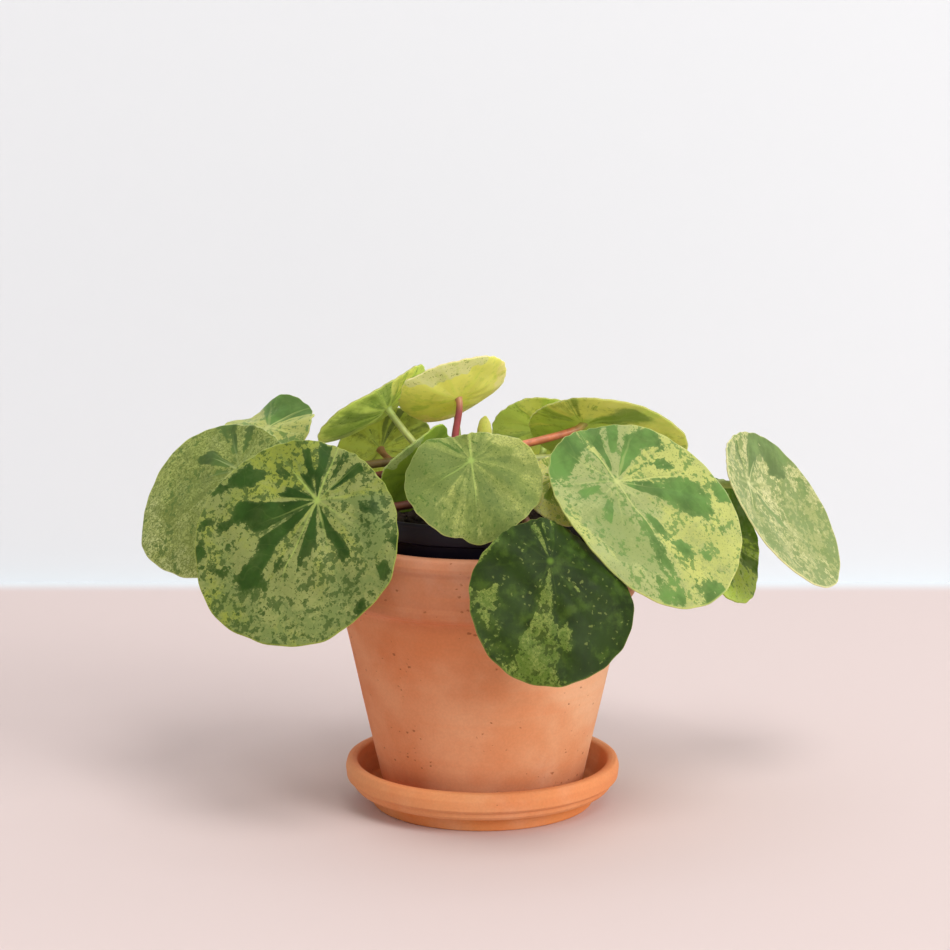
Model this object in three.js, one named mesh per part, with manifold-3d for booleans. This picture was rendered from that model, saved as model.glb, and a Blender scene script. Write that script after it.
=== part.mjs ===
// A variegated pilea in a black nursery pot, which stands in a clay pot on its saucer.
// Millimetres, +Z up. The origin is the centre of the saucer's flat underside, and -Y is the plant's front.
import * as THREE from "three";
import { mergeVertices } from "three/addons/utils/BufferGeometryUtils.js";
import Module from "manifold-3d";

const wasm = await Module();
wasm.setup();

// ---- Driving dimensions -------------------------------------------------------------------------

const GAP = 0.3; // clearance between pieces that touch
const ROUND_SIDES = 44; // facets round the pots

const SAUCER = { lipRadius: 62.5, insideRadius: 56.5, footRadius: 50.5, height: 20.5, floor: 5.5 };

const CLAY_POT = {
  rimRadius: 70,
  mouthRadius: 61.5,
  baseRadius: 45,
  shoulderRadius: 65, // under the rim band
  height: 120,
  bandHeight: 28.5,
  floor: 8.5,
  drainRadius: 11,
};

const NURSERY_POT = {
  rimRadius: 60,
  baseRadius: 43,
  height: 94,
  lipHeight: 9,
  wall: 1.2,
  drainRadius: 4,
  drainCount: 6,
  drainCircle: 26,
};

const SOIL = { belowRim: 8, mound: 2.5, grain: 0.7, rings: 7, sides: 36, holeDepth: 24 };

const BLADE = { thickness: 0.9, rings: 3, sectors: 24, smallSectors: 16, smallBelow: 40 };
const PETIOLE = { slimRadius: 0.9, radiusPerLength: 0.0065, sides: 6, steps: 12 };

// ---- Heights that follow ------------------------------------------------------------------------

const potBase = SAUCER.floor + GAP;
const potTop = potBase + CLAY_POT.height;
const clayFloorTop = potBase + CLAY_POT.floor;
const insideSlope =
  (CLAY_POT.mouthRadius - CLAY_POT.baseRadius + CLAY_POT.floor) / (CLAY_POT.height - CLAY_POT.floor);
const insideBottomRadius = CLAY_POT.baseRadius - CLAY_POT.floor;
// The nursery pot's foot wedges in the clay pot's taper.
const nurseryBase =
  clayFloorTop + (NURSERY_POT.baseRadius + GAP - insideBottomRadius) / insideSlope;
const nurseryTop = nurseryBase + NURSERY_POT.height;
const soilTop = nurseryTop - SOIL.belowRim;

// ---- Solids -------------------------------------------------------------------------------------

// Turns a profile of [radius, height] points round the Z axis.
function turned(profile, sides = ROUND_SIDES) {
  const points = profile.map(([r, z]) => new THREE.Vector2(r, z));
  const geometry = new THREE.LatheGeometry(points, sides);
  geometry.rotateX(Math.PI / 2);
  return geometry;
}

// Points of a quarter-round or other arc in a profile, from one angle to another in degrees.
function arc(r, z, radius, from, to, steps) {
  return Array.from({ length: steps + 1 }, (_, i) => {
    const a = THREE.MathUtils.degToRad(from + ((to - from) * i) / steps);
    return [r + radius * Math.cos(a), z + radius * Math.sin(a)];
  });
}

function toSolid(geometry) {
  const bare = new THREE.BufferGeometry();
  bare.setAttribute("position", geometry.getAttribute("position"));
  if (geometry.index) bare.setIndex(geometry.index);
  const merged = mergeVertices(bare, 1e-4);
  return new wasm.Manifold(
    new wasm.Mesh({
      numProp: 3,
      vertProperties: new Float32Array(merged.attributes.position.array),
      triVerts: new Uint32Array(merged.index.array),
    }),
  );
}

function toGeometry(solid) {
  const mesh = solid.getMesh();
  const geometry = new THREE.BufferGeometry();
  geometry.setAttribute("position", new THREE.BufferAttribute(mesh.vertProperties, 3));
  geometry.setIndex(new THREE.BufferAttribute(mesh.triVerts, 1));
  geometry.computeVertexNormals();
  return geometry;
}

// Takes upright round holes out of a solid. Each hole is { x, y, radius, from, to }.
function drilled(solid, holes) {
  return holes.reduce((left, { x, y, radius, from, to }) => {
    const drill = new THREE.CylinderGeometry(radius, radius, to - from, 16);
    drill.rotateX(Math.PI / 2);
    drill.translate(x, y, (from + to) / 2);
    return left.subtract(toSolid(drill));
  }, solid);
}

// A round rod along a curve.
function rod(curve, radius, sides, steps) {
  const section = new THREE.Shape(
    Array.from({ length: sides }, (_, i) => {
      const a = (2 * Math.PI * i) / sides;
      return new THREE.Vector2(radius * Math.cos(a), radius * Math.sin(a));
    }),
  );
  return new THREE.ExtrudeGeometry(section, { steps, extrudePath: curve, bevelEnabled: false });
}

// ---- Saucer and pots ----------------------------------------------------------------------------

function saucerShape() {
  const { lipRadius, insideRadius, footRadius, height, floor } = SAUCER;
  const lipRound = (lipRadius - insideRadius) / 2;
  return turned([
    [0, 0],
    [footRadius, 0],
    [footRadius + 1.6, 6.4],
    [lipRadius - 4.6, 7.4],
    [lipRadius - 3, 10.6],
    [lipRadius - 1.4, 11.2],
    ...arc(lipRadius - lipRound, height - lipRound, lipRound, -25, 180, 7),
    [insideRadius - 1, height - 7],
    [insideRadius - 4, floor + 2],
    [insideRadius - 6.5, floor],
    [0, floor],
  ]);
}

function clayPotShape() {
  const { rimRadius, mouthRadius, baseRadius, shoulderRadius, bandHeight, drainRadius } = CLAY_POT;
  const bandBottom = potTop - bandHeight;
  const lipRound = 3;
  return turned([
    [drainRadius, potBase + 1.5],
    [baseRadius - 10, potBase + 1.5],
    [baseRadius - 8, potBase],
    [baseRadius - 1.5, potBase],
    [baseRadius, potBase + 1.5],
    [shoulderRadius, bandBottom - 1.5],
    [shoulderRadius + 1.4, bandBottom],
    [rimRadius - 1.2, bandBottom + 1.4],
    [rimRadius - 0.9, bandBottom + 5],
    [rimRadius - 1.6, bandBottom + 6.5],
    [rimRadius - 1, potTop - 7],
    [rimRadius, potTop - 5.6],
    ...arc(rimRadius - lipRound, potTop - lipRound, lipRound, 0, 90, 3),
    ...arc(mouthRadius + lipRound, potTop - lipRound, lipRound, 90, 180, 3),
    [insideBottomRadius, clayFloorTop],
    [drainRadius, clayFloorTop],
    [drainRadius, potBase + 1.5],
  ]);
}

function nurseryPotShape() {
  const { rimRadius, baseRadius, lipHeight, wall, drainRadius, drainCount, drainCircle } = NURSERY_POT;
  const bodyTop = rimRadius - 3;
  const shell = turned([
    [0, nurseryBase],
    [baseRadius - 1, nurseryBase],
    [baseRadius, nurseryBase + 1],
    [bodyTop, nurseryTop - lipHeight - 0.8],
    [rimRadius - 0.6, nurseryTop - lipHeight],
    [rimRadius, nurseryTop - 1],
    [rimRadius - 0.4, nurseryTop],
    [rimRadius - 1.4, nurseryTop],
    [rimRadius - 1.8, nurseryTop - 1],
    [bodyTop - wall, nurseryTop - lipHeight - 1],
    [baseRadius - wall, nurseryBase + wall + 0.8],
    [0, nurseryBase + wall + 0.8],
  ]);
  const drains = Array.from({ length: drainCount }, (_, i) => {
    const a = (2 * Math.PI * i) / drainCount;
    return {
      x: drainCircle * Math.cos(a),
      y: drainCircle * Math.sin(a),
      radius: drainRadius,
      from: nurseryBase - 2,
      to: nurseryBase + 4,
    };
  });
  return toGeometry(drilled(toSolid(shell), drains));
}

// The soil's height at a point, mounded at the middle and crumbly by a sum of ripples.
function soilHeight(x, y) {
  const { mound, grain } = SOIL;
  const out = Math.hypot(x, y) / NURSERY_POT.rimRadius;
  const ripples =
    Math.sin(0.61 * x + 0.23 * y) + Math.sin(0.47 * y - 0.35 * x + 1.3) + Math.sin(0.9 * x + 0.8 * y + 2);
  return soilTop + mound * (1 - out * out) + grain * ripples * (1 - out ** 4);
}

function soilShape() {
  const { rings, sides, holeDepth } = SOIL;
  const { rimRadius, baseRadius, wall } = NURSERY_POT;
  const wallSlope = (rimRadius - 3 - baseRadius) / (NURSERY_POT.height - NURSERY_POT.lipHeight);
  const bottom = nurseryBase + wall + 0.8 + GAP;
  const clear = wall + GAP + 0.15;
  const bottomRadius = baseRadius - clear;
  const topRadius = baseRadius + wallSlope * (soilTop - 3.5 - nurseryBase) - clear;
  const profile = [
    [0, bottom],
    [bottomRadius, bottom],
    [topRadius, soilTop - 2],
  ];
  for (let i = rings - 1; i >= 0; i--) profile.push([(topRadius * i) / rings, soilTop]);
  const geometry = turned(profile, sides);
  const position = geometry.getAttribute("position");
  for (let i = 0; i < position.count; i++) {
    if (Math.abs(position.getZ(i) - soilTop) < 1e-3)
      position.setZ(i, soilHeight(position.getX(i), position.getY(i)));
  }
  const [x, y] = TRUNK.foot;
  const hole = { x, y, radius: TRUNK.radius + GAP, from: soilTop - holeDepth, to: soilTop + 20 };
  return toGeometry(drilled(toSolid(geometry), [hole]));
}

// ---- Trunk --------------------------------------------------------------------------------------

const TRUNK = { foot: [-2, 3], top: [-7, 1, 156], radius: 4.6, topRadius: 3.4, sides: 12, steps: 6 };
const trunkBend = soilTop + 5; // upright below this height, then leaning

// The trunk's middle and radius at a height.
function trunkAt(z) {
  const { foot, top, radius, topRadius } = TRUNK;
  const t = THREE.MathUtils.clamp((z - trunkBend) / (top[2] - trunkBend), 0, 1);
  return {
    middle: new THREE.Vector3(foot[0] + (top[0] - foot[0]) * t, foot[1] + (top[1] - foot[1]) * t, z),
    radius: radius + (topRadius - radius) * t * t,
  };
}

function trunkShape() {
  const { top, sides, steps, radius, topRadius } = TRUNK;
  const foot = soilTop - SOIL.holeDepth + GAP;
  const profile = [
    [0, foot],
    [radius, foot],
  ];
  for (let i = 0; i <= steps; i++) {
    const z = trunkBend + ((top[2] - trunkBend) * i) / steps;
    profile.push([trunkAt(z).radius, z]);
  }
  profile.push([topRadius * 0.6, top[2] + 1], [0, top[2] + 1.4]);
  const geometry = turned(profile, sides);
  const position = geometry.getAttribute("position");
  for (let i = 0; i < position.count; i++) {
    const { middle } = trunkAt(position.getZ(i));
    position.setXY(i, position.getX(i) + middle.x, position.getY(i) + middle.y);
  }
  geometry.computeVertexNormals();
  return geometry;
}

// ---- Leaves -------------------------------------------------------------------------------------

// hub: where the petiole meets the blade. faces: azimuth and elevation of the upper side, in degrees, with
// azimuth 0 along +X and -90 to the front. turn: how far the tip is turned from straight downhill.
// size: length and width. hubShare: the hub's place on the length, from the base edge.
// dome: how far the rim falls back from the upper side; below 0 the blade is a bowl. droop: how far the tip
// half bends back. wave: the height of the rim's waves, with their number and phase.
// root: height of the petiole's root on the trunk. side: how far round the trunk its root is from the hub's own
// direction, in degrees. lift: how far its first and second half are bowed up. stalk, tone: their colours.
const LEAVES = [
  // Facing the front, seen whole or nearly.
  { id: "01", hub: [-71, -58, 150], faces: [-104, 26], turn: -22, size: [92, 91], hubShare: 0.28,
    dome: 1.8, droop: 0.5, wave: [1.4, 5, 0.7], root: 148, side: 18, lift: [-8, -2], stalk: "red",
    tone: "mottled" },
  { id: "02", hub: [-109, 0, 153], faces: [-127, 40], turn: -26, size: [78, 81], hubShare: 0.28,
    dome: 1, droop: 4, wave: [0.8, 5, 2.6], root: 155, side: 19, lift: [12, 1], stalk: "green",
    tone: "greyGreen" },
  { id: "03", hub: [58, -40, 155], faces: [-56, 48], turn: 26, size: [94, 92], hubShare: 0.3,
    dome: -3, droop: 12, wave: [1.6, 4, 1], root: 152, side: 13, lift: [11, 3], stalk: "red",
    tone: "cream" },
  { id: "04", hub: [28, -93, 131], faces: [-75, 22], turn: -2, size: [72, 72], hubShare: 0.26,
    dome: 1.8, droop: 1, wave: [1.4, 6, 0.6], root: 144, side: 12, lift: [11, 13], stalk: "red",
    tone: "deep" },
  { id: "05", hub: [-5, -50, 166], faces: [-89, 40], turn: 6, size: [53, 60], hubShare: 0.32,
    dome: 1.5, droop: 5, wave: [1.9, 5, 5.3], root: 138, side: 7, lift: [4, 5], stalk: "green",
    tone: "soft" },
  { id: "06", hub: [121, 15, 144], faces: [-29, 33], turn: 44, size: [89, 75], hubShare: 0.22,
    dome: -4, droop: 3, wave: [0.3, 5, 5.1], root: 149, side: -6, lift: [24, 10], stalk: "green",
    tone: "cream" },
  { id: "07", hub: [111, 28, 118], faces: [-35, 16], turn: 5, size: [60, 49], hubShare: 0.44,
    dome: -2, droop: -1, wave: [0.9, 5, 2], root: 140, side: -1, lift: [34, 23], stalk: "green",
    tone: "fresh" },
  { id: "08", hub: [32, -37, 156], faces: [-80, 48], turn: 10, size: [37, 32], hubShare: 0.34,
    dome: 1.5, droop: 1.5, wave: [1, 5, 4.2], root: 148, side: -7, lift: [7, 3], stalk: "green",
    tone: "soft" },
  // Facing up or away, seen from below or edge on.
  { id: "09", hub: [-100, 50, 164], faces: [-128, 60], turn: 85, size: [49, 47], hubShare: 0.49,
    dome: 1, droop: -1, wave: [3.4, 4, 0.2], root: 140, side: 46, lift: [6, -6], stalk: "green",
    tone: "greyGreen" },
  { id: "10", hub: [-43, 8, 180], faces: [152, 52], turn: -7, size: [58, 61], hubShare: 0.35,
    dome: -6, droop: 3, wave: [0.4, 4, 2.4], root: 145, side: 3, lift: [8, 1], stalk: "green",
    tone: "fresh" },
  { id: "11", hub: [-48, 57, 153], faces: [116, 30], turn: -14, size: [58, 52], hubShare: 0.46,
    dome: 2, droop: 2, wave: [1.6, 5, 1.1], root: 139, side: -3, lift: [2, 0], stalk: "red",
    tone: "mottled" },
  { id: "12", hub: [-30, -21, 156], faces: [138, 37], turn: -9, size: [44, 38], hubShare: 0.54,
    dome: -1.5, droop: 8, wave: [0.9, 4, 0.2], root: 150, side: -18, lift: [7, 4], stalk: "green",
    tone: "fresh" },
  { id: "13", hub: [-11, 5, 185], faces: [125, 49], turn: 68, size: [51, 54], hubShare: 0.5,
    dome: -5, droop: -4, wave: [0.6, 4, 3.8], root: 155, side: 10, lift: [6, 1], stalk: "red",
    tone: "yellow" },
  { id: "14", hub: [30, 59, 162], faces: [80, 36], turn: -8, size: [52, 54], hubShare: 0.43,
    dome: 1.5, droop: 2, wave: [0.3, 5, 5.5], root: 149, side: -12, lift: [23, -26], stalk: "green",
    tone: "fresh" },
  { id: "15", hub: [46, 20, 171], faces: [75, 55], turn: -38, size: [74, 75], hubShare: 0.29,
    dome: -1, droop: 3, wave: [0.2, 4, 5], root: 155, side: 9, lift: [9, 7], stalk: "red",
    tone: "fresh" },
  // Two young ones near the top.
  { id: "16", hub: [1, 24, 161], faces: [88, 16], turn: 180, size: [18, 12], hubShare: 0.22,
    dome: -1.5, droop: 0, wave: [0.3, 4, 1], root: 151, side: 4, lift: [1, 0], stalk: "green",
    tone: "yellow" },
  { id: "17", hub: [-12, 36, 184], faces: [80, 74], turn: 0, size: [26, 24], hubShare: 0.4,
    dome: 1, droop: 1, wave: [0.5, 5, 1], root: 155, side: -3, lift: [-2, -13], stalk: "green",
    tone: "fresh" },
  // Round the back and low at the sides.
  { id: "18", hub: [-14, 80, 143], faces: [98, 32], turn: 8, size: [66, 62], hubShare: 0.26,
    dome: 3, droop: 3, wave: [1.4, 5, 0.9], root: 143, side: -3, lift: [13, 1], stalk: "red",
    tone: "mottled" },
  { id: "19", hub: [84, 66, 142], faces: [36, 32], turn: 0, size: [72, 68], hubShare: 0.3,
    dome: 3, droop: 2, wave: [1.2, 5, 0.3], root: 142, side: 8, lift: [20, -2], stalk: "green",
    tone: "cream" },
  { id: "20", hub: [36, 100, 112], faces: [74, 14], turn: -6, size: [64, 60], hubShare: 0.28,
    dome: 2, droop: 2, wave: [1, 6, 1.8], root: 137, side: 2, lift: [26, 31], stalk: "green",
    tone: "deep" },
  { id: "21", hub: [-96, 20, 124], faces: [172, 20], turn: 6, size: [54, 50], hubShare: 0.3,
    dome: 2, droop: 2, wave: [1, 5, 4.6], root: 137, side: 1, lift: [30, 22], stalk: "red",
    tone: "greyGreen" },
  { id: "22", hub: [84, 8, 128], faces: [4, 22], turn: -14, size: [56, 52], hubShare: 0.3,
    dome: 2, droop: 2, wave: [1, 5, 2.2], root: 137, side: -17, lift: [26, 20], stalk: "green",
    tone: "soft" },
];

// ---- Assembly -----------------------------------------------------------------------------------

const toRadians = THREE.MathUtils.degToRad;

// The leaf's own axes: u towards the tip, v across, w out of the upper side.
function leafAxes({ faces, turn }) {
  const [azimuth, elevation] = faces.map(toRadians);
  const w = new THREE.Vector3(
    Math.cos(elevation) * Math.cos(azimuth),
    Math.cos(elevation) * Math.sin(azimuth),
    Math.sin(elevation),
  );
  const downhill = new THREE.Vector3(
    Math.sin(elevation) * Math.cos(azimuth),
    Math.sin(elevation) * Math.sin(azimuth),
    -Math.cos(elevation),
  );
  const u = downhill.applyAxisAngle(w, toRadians(turn));
  const v = new THREE.Vector3().crossVectors(w, u);
  return { u, v, w };
}

// The middle surface of a blade at share s of the way from the hub to the rim, in direction angle from the tip.
function bladePoint(leaf, s, angle) {
  const [length, width] = leaf.size;
  const offset = length * (0.5 - leaf.hubShare);
  const a = length / 2;
  const b = width / 2;
  // Distance from the hub to the rim, an ellipse whose middle lies towards the tip.
  const c = Math.cos(angle) / a;
  const d = Math.sin(angle) / b;
  const e = offset / a;
  const A = c * c + d * d;
  const B = -2 * c * e;
  const C = e * e - 1;
  const rim = (-B + Math.sqrt(B * B - 4 * A * C)) / (2 * A);
  const u = s * rim * Math.cos(angle);
  const v = s * rim * Math.sin(angle);
  const out2 = ((u - offset) / a) ** 2 + (v / b) ** 2;
  const [height, count, phase] = leaf.wave;
  const tipShare = Math.max(0, u / (length * (1 - leaf.hubShare)));
  const w =
    -leaf.dome * (out2 - e * e) - leaf.droop * tipShare ** 2 + height * s ** 3 * Math.sin(count * angle + phase);
  return new THREE.Vector3(u, v, w);
}

function bladeShape(leaf) {
  const { thickness, rings } = BLADE;
  const sectors = leaf.size[0] < BLADE.smallBelow ? BLADE.smallSectors : BLADE.sectors;
  const { u, v, w } = leafAxes(leaf);
  const toWorld = (p) =>
    new THREE.Vector3(...leaf.hub).addScaledVector(u, p.x).addScaledVector(v, p.y).addScaledVector(w, p.z);
  const step = 1e-3;
  // The point on the upper (side 1) or lower (side -1) face.
  const face = (ring, sector, side) => {
    const s = ring / rings;
    const angle = (2 * Math.PI * sector) / sectors;
    const p = bladePoint(leaf, s, angle);
    const normal = new THREE.Vector3(0, 0, 1);
    if (ring > 0) {
      const out = bladePoint(leaf, s + step, angle).sub(p);
      const round = bladePoint(leaf, s, angle + step).sub(p);
      normal.crossVectors(out, round).normalize();
    }
    return toWorld(p.addScaledVector(normal, (side * thickness) / 2));
  };
  const positions = [];
  const index = [];
  for (const side of [1, -1]) {
    positions.push(...face(0, 0, side));
    for (let ring = 1; ring <= rings; ring++)
      for (let sector = 0; sector < sectors; sector++) positions.push(...face(ring, sector, side));
  }
  const perSide = 1 + rings * sectors;
  const at = (side, ring, sector) =>
    side * perSide + (ring === 0 ? 0 : 1 + (ring - 1) * sectors + (sector % sectors));
  const triangle = (side, a, b, c) => (side === 0 ? index.push(a, b, c) : index.push(a, c, b));
  for (const side of [0, 1]) {
    for (let sector = 0; sector < sectors; sector++) {
      triangle(side, at(side, 0, 0), at(side, 1, sector), at(side, 1, sector + 1));
      for (let ring = 1; ring < rings; ring++) {
        const [a, b] = [at(side, ring, sector), at(side, ring, sector + 1)];
        const [c, d] = [at(side, ring + 1, sector), at(side, ring + 1, sector + 1)];
        triangle(side, a, c, d);
        triangle(side, a, d, b);
      }
    }
  }
  for (let sector = 0; sector < sectors; sector++) {
    const [a, b] = [at(0, rings, sector), at(0, rings, sector + 1)];
    const [c, d] = [at(1, rings, sector), at(1, rings, sector + 1)];
    index.push(a, c, d, a, d, b);
  }
  const geometry = new THREE.BufferGeometry();
  geometry.setAttribute("position", new THREE.Float32BufferAttribute(positions, 3));
  geometry.setIndex(index);
  geometry.computeVertexNormals();
  return geometry;
}

// A longer leaf has a thicker petiole.
function petioleRadius(leaf) {
  return PETIOLE.slimRadius + PETIOLE.radiusPerLength * leaf.size[0];
}

// The petiole leaves the trunk, arches over, and meets the blade's underside. Both ends stop the gap short.
function petioleCurve(leaf) {
  const thickness = petioleRadius(leaf);
  const { middle, radius } = trunkAt(leaf.root);
  const hub = new THREE.Vector3(...leaf.hub);
  const { w } = leafAxes(leaf);
  const heading = Math.atan2(hub.y - middle.y, hub.x - middle.x) + toRadians(leaf.side);
  const outward = new THREE.Vector3(Math.cos(heading), Math.sin(heading), 0);
  const start = middle.clone().addScaledVector(outward, radius + GAP);
  const end = hub.clone().addScaledVector(w, -(BLADE.thickness / 2 + GAP));
  const reach = start.distanceTo(end);
  const [firstLift, secondLift] = leaf.lift;
  const first = start.clone().addScaledVector(outward, reach * 0.3);
  first.z += firstLift;
  const second = end.clone().addScaledVector(w, -reach * 0.25);
  second.z += secondLift;
  // The tube's ends are square to its path, so a slanting end stands off further.
  const leaving = first.clone().sub(start).normalize();
  const arriving = end.clone().sub(second).normalize();
  start.addScaledVector(outward, thickness * Math.abs(leaving.z));
  end.addScaledVector(w, -thickness * Math.sqrt(Math.max(0, 1 - arriving.dot(w) ** 2)));
  return new THREE.CubicBezierCurve3(start, first, second, end);
}

function petioleShape(leaf) {
  return rod(petioleCurve(leaf), petioleRadius(leaf), PETIOLE.sides, PETIOLE.steps);
}

const FINISHES = {
  saucerClay: { color: 0xcc7345, roughness: 0.85 },
  potClay: { color: 0xc77854, roughness: 0.9 },
  nurseryPlastic: { color: 0x100e15, roughness: 0.4 },
  soil: { color: 0x2b211a, roughness: 1 },
  bark: { color: 0x6a4a3a, roughness: 0.85 },
};
const STALKS = { red: 0xb0604f, green: 0x9dad5c };
const TONES = {
  mottled: 0x728f45,
  greyGreen: 0x8ea47a,
  cream: 0xa9b878,
  deep: 0x2f5526,
  soft: 0x84a066,
  yellow: 0xc2bd50,
  fresh: 0x76962f,
};
const STALK_ROUGHNESS = 0.5;
const BLADE_ROUGHNESS = 0.45;

const plant = new THREE.Group();

function add(name, geometry, { color, roughness }) {
  const material = new THREE.MeshStandardMaterial({ color, roughness, metalness: 0 });
  const mesh = new THREE.Mesh(geometry, material);
  mesh.name = name;
  plant.add(mesh);
}

add("saucer", saucerShape(), FINISHES.saucerClay);
add("clay_pot", clayPotShape(), FINISHES.potClay);
add("nursery_pot", nurseryPotShape(), FINISHES.nurseryPlastic);
add("soil", soilShape(), FINISHES.soil);
add("trunk", trunkShape(), FINISHES.bark);
for (const leaf of LEAVES) {
  const blade = { color: TONES[leaf.tone], roughness: BLADE_ROUGHNESS };
  const petiole = { color: STALKS[leaf.stalk], roughness: STALK_ROUGHNESS };
  add(`leaf_${leaf.id}_blade`, bladeShape(leaf), blade);
  add(`leaf_${leaf.id}_petiole`, petioleShape(leaf), petiole);
}

export default plant;
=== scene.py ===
import functools
import math
import random

import bpy
import numpy as np
from bpy.props import FloatProperty, FloatVectorProperty, IntProperty, PointerProperty
from mathutils import Matrix, Vector


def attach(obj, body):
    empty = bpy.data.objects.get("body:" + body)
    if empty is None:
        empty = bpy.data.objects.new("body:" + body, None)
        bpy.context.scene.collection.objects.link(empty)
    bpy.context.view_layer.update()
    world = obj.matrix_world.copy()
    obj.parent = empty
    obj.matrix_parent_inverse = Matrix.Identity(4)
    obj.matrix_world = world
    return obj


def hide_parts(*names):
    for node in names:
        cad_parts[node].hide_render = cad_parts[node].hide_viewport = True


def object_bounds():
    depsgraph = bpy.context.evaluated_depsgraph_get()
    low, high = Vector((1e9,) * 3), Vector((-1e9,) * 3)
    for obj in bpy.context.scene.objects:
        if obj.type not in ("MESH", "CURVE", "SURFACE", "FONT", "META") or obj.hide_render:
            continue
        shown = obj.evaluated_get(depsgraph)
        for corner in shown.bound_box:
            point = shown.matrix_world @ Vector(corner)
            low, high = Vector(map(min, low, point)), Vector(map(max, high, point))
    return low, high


bl_info = {
    "name": "Potted pilea",
    "version": (1, 0, 0),
    "blender": (4, 5, 0),
    "location": "3D View > Sidebar > Pilea",
    "description": "A variegated pilea in a nursery pot, in a clay pot on its saucer",
    "category": "Add Mesh",
}

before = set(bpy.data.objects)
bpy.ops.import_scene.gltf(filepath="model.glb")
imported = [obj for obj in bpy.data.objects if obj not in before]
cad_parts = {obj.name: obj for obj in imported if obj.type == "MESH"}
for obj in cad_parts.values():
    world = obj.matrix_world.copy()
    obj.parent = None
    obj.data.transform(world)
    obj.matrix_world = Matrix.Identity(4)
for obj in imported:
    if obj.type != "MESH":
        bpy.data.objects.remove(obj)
CAD_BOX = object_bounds()

# The frame is in metres. All sizes and places below are in millimetres, as in the part's source.
MM = 0.001


def srgb(red, green, blue):
    """A colour given as 0 to 255, as Blender's own linear values."""
    shares = [c / 255 for c in (red, green, blue)]
    return tuple(c / 12.92 if c <= 0.04045 else ((c + 0.055) / 1.055) ** 2.4 for c in shares)


# ---- Sizes ----------------------------------------------------------------------------------------

GAP = 0.3  # clearance between solids that touch
SAUCER_FLOOR = 5.5
POT_BASE = SAUCER_FLOOR + GAP
POT_HEIGHT = 120
POT_TOP = POT_BASE + POT_HEIGHT
NURSERY_TOP = 138.6
NURSERY_HEIGHT = 94
NURSERY_BASE = NURSERY_TOP - NURSERY_HEIGHT
NURSERY_BASE_RADIUS = 43
SOIL_TOP = NURSERY_TOP - 8
TRUNK_FOOT = (-2, 3)
TRUNK_TOP = (-7, 1, 156)
TRUNK_RADIUS = (4.6, 3.4)
TRUNK_BEND = SOIL_TOP + 5
STALK_GAIN = 1.3  # how much thicker the stalks are than their solids, which look too thin

# ---- Leaves ---------------------------------------------------------------------------------------

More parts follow.
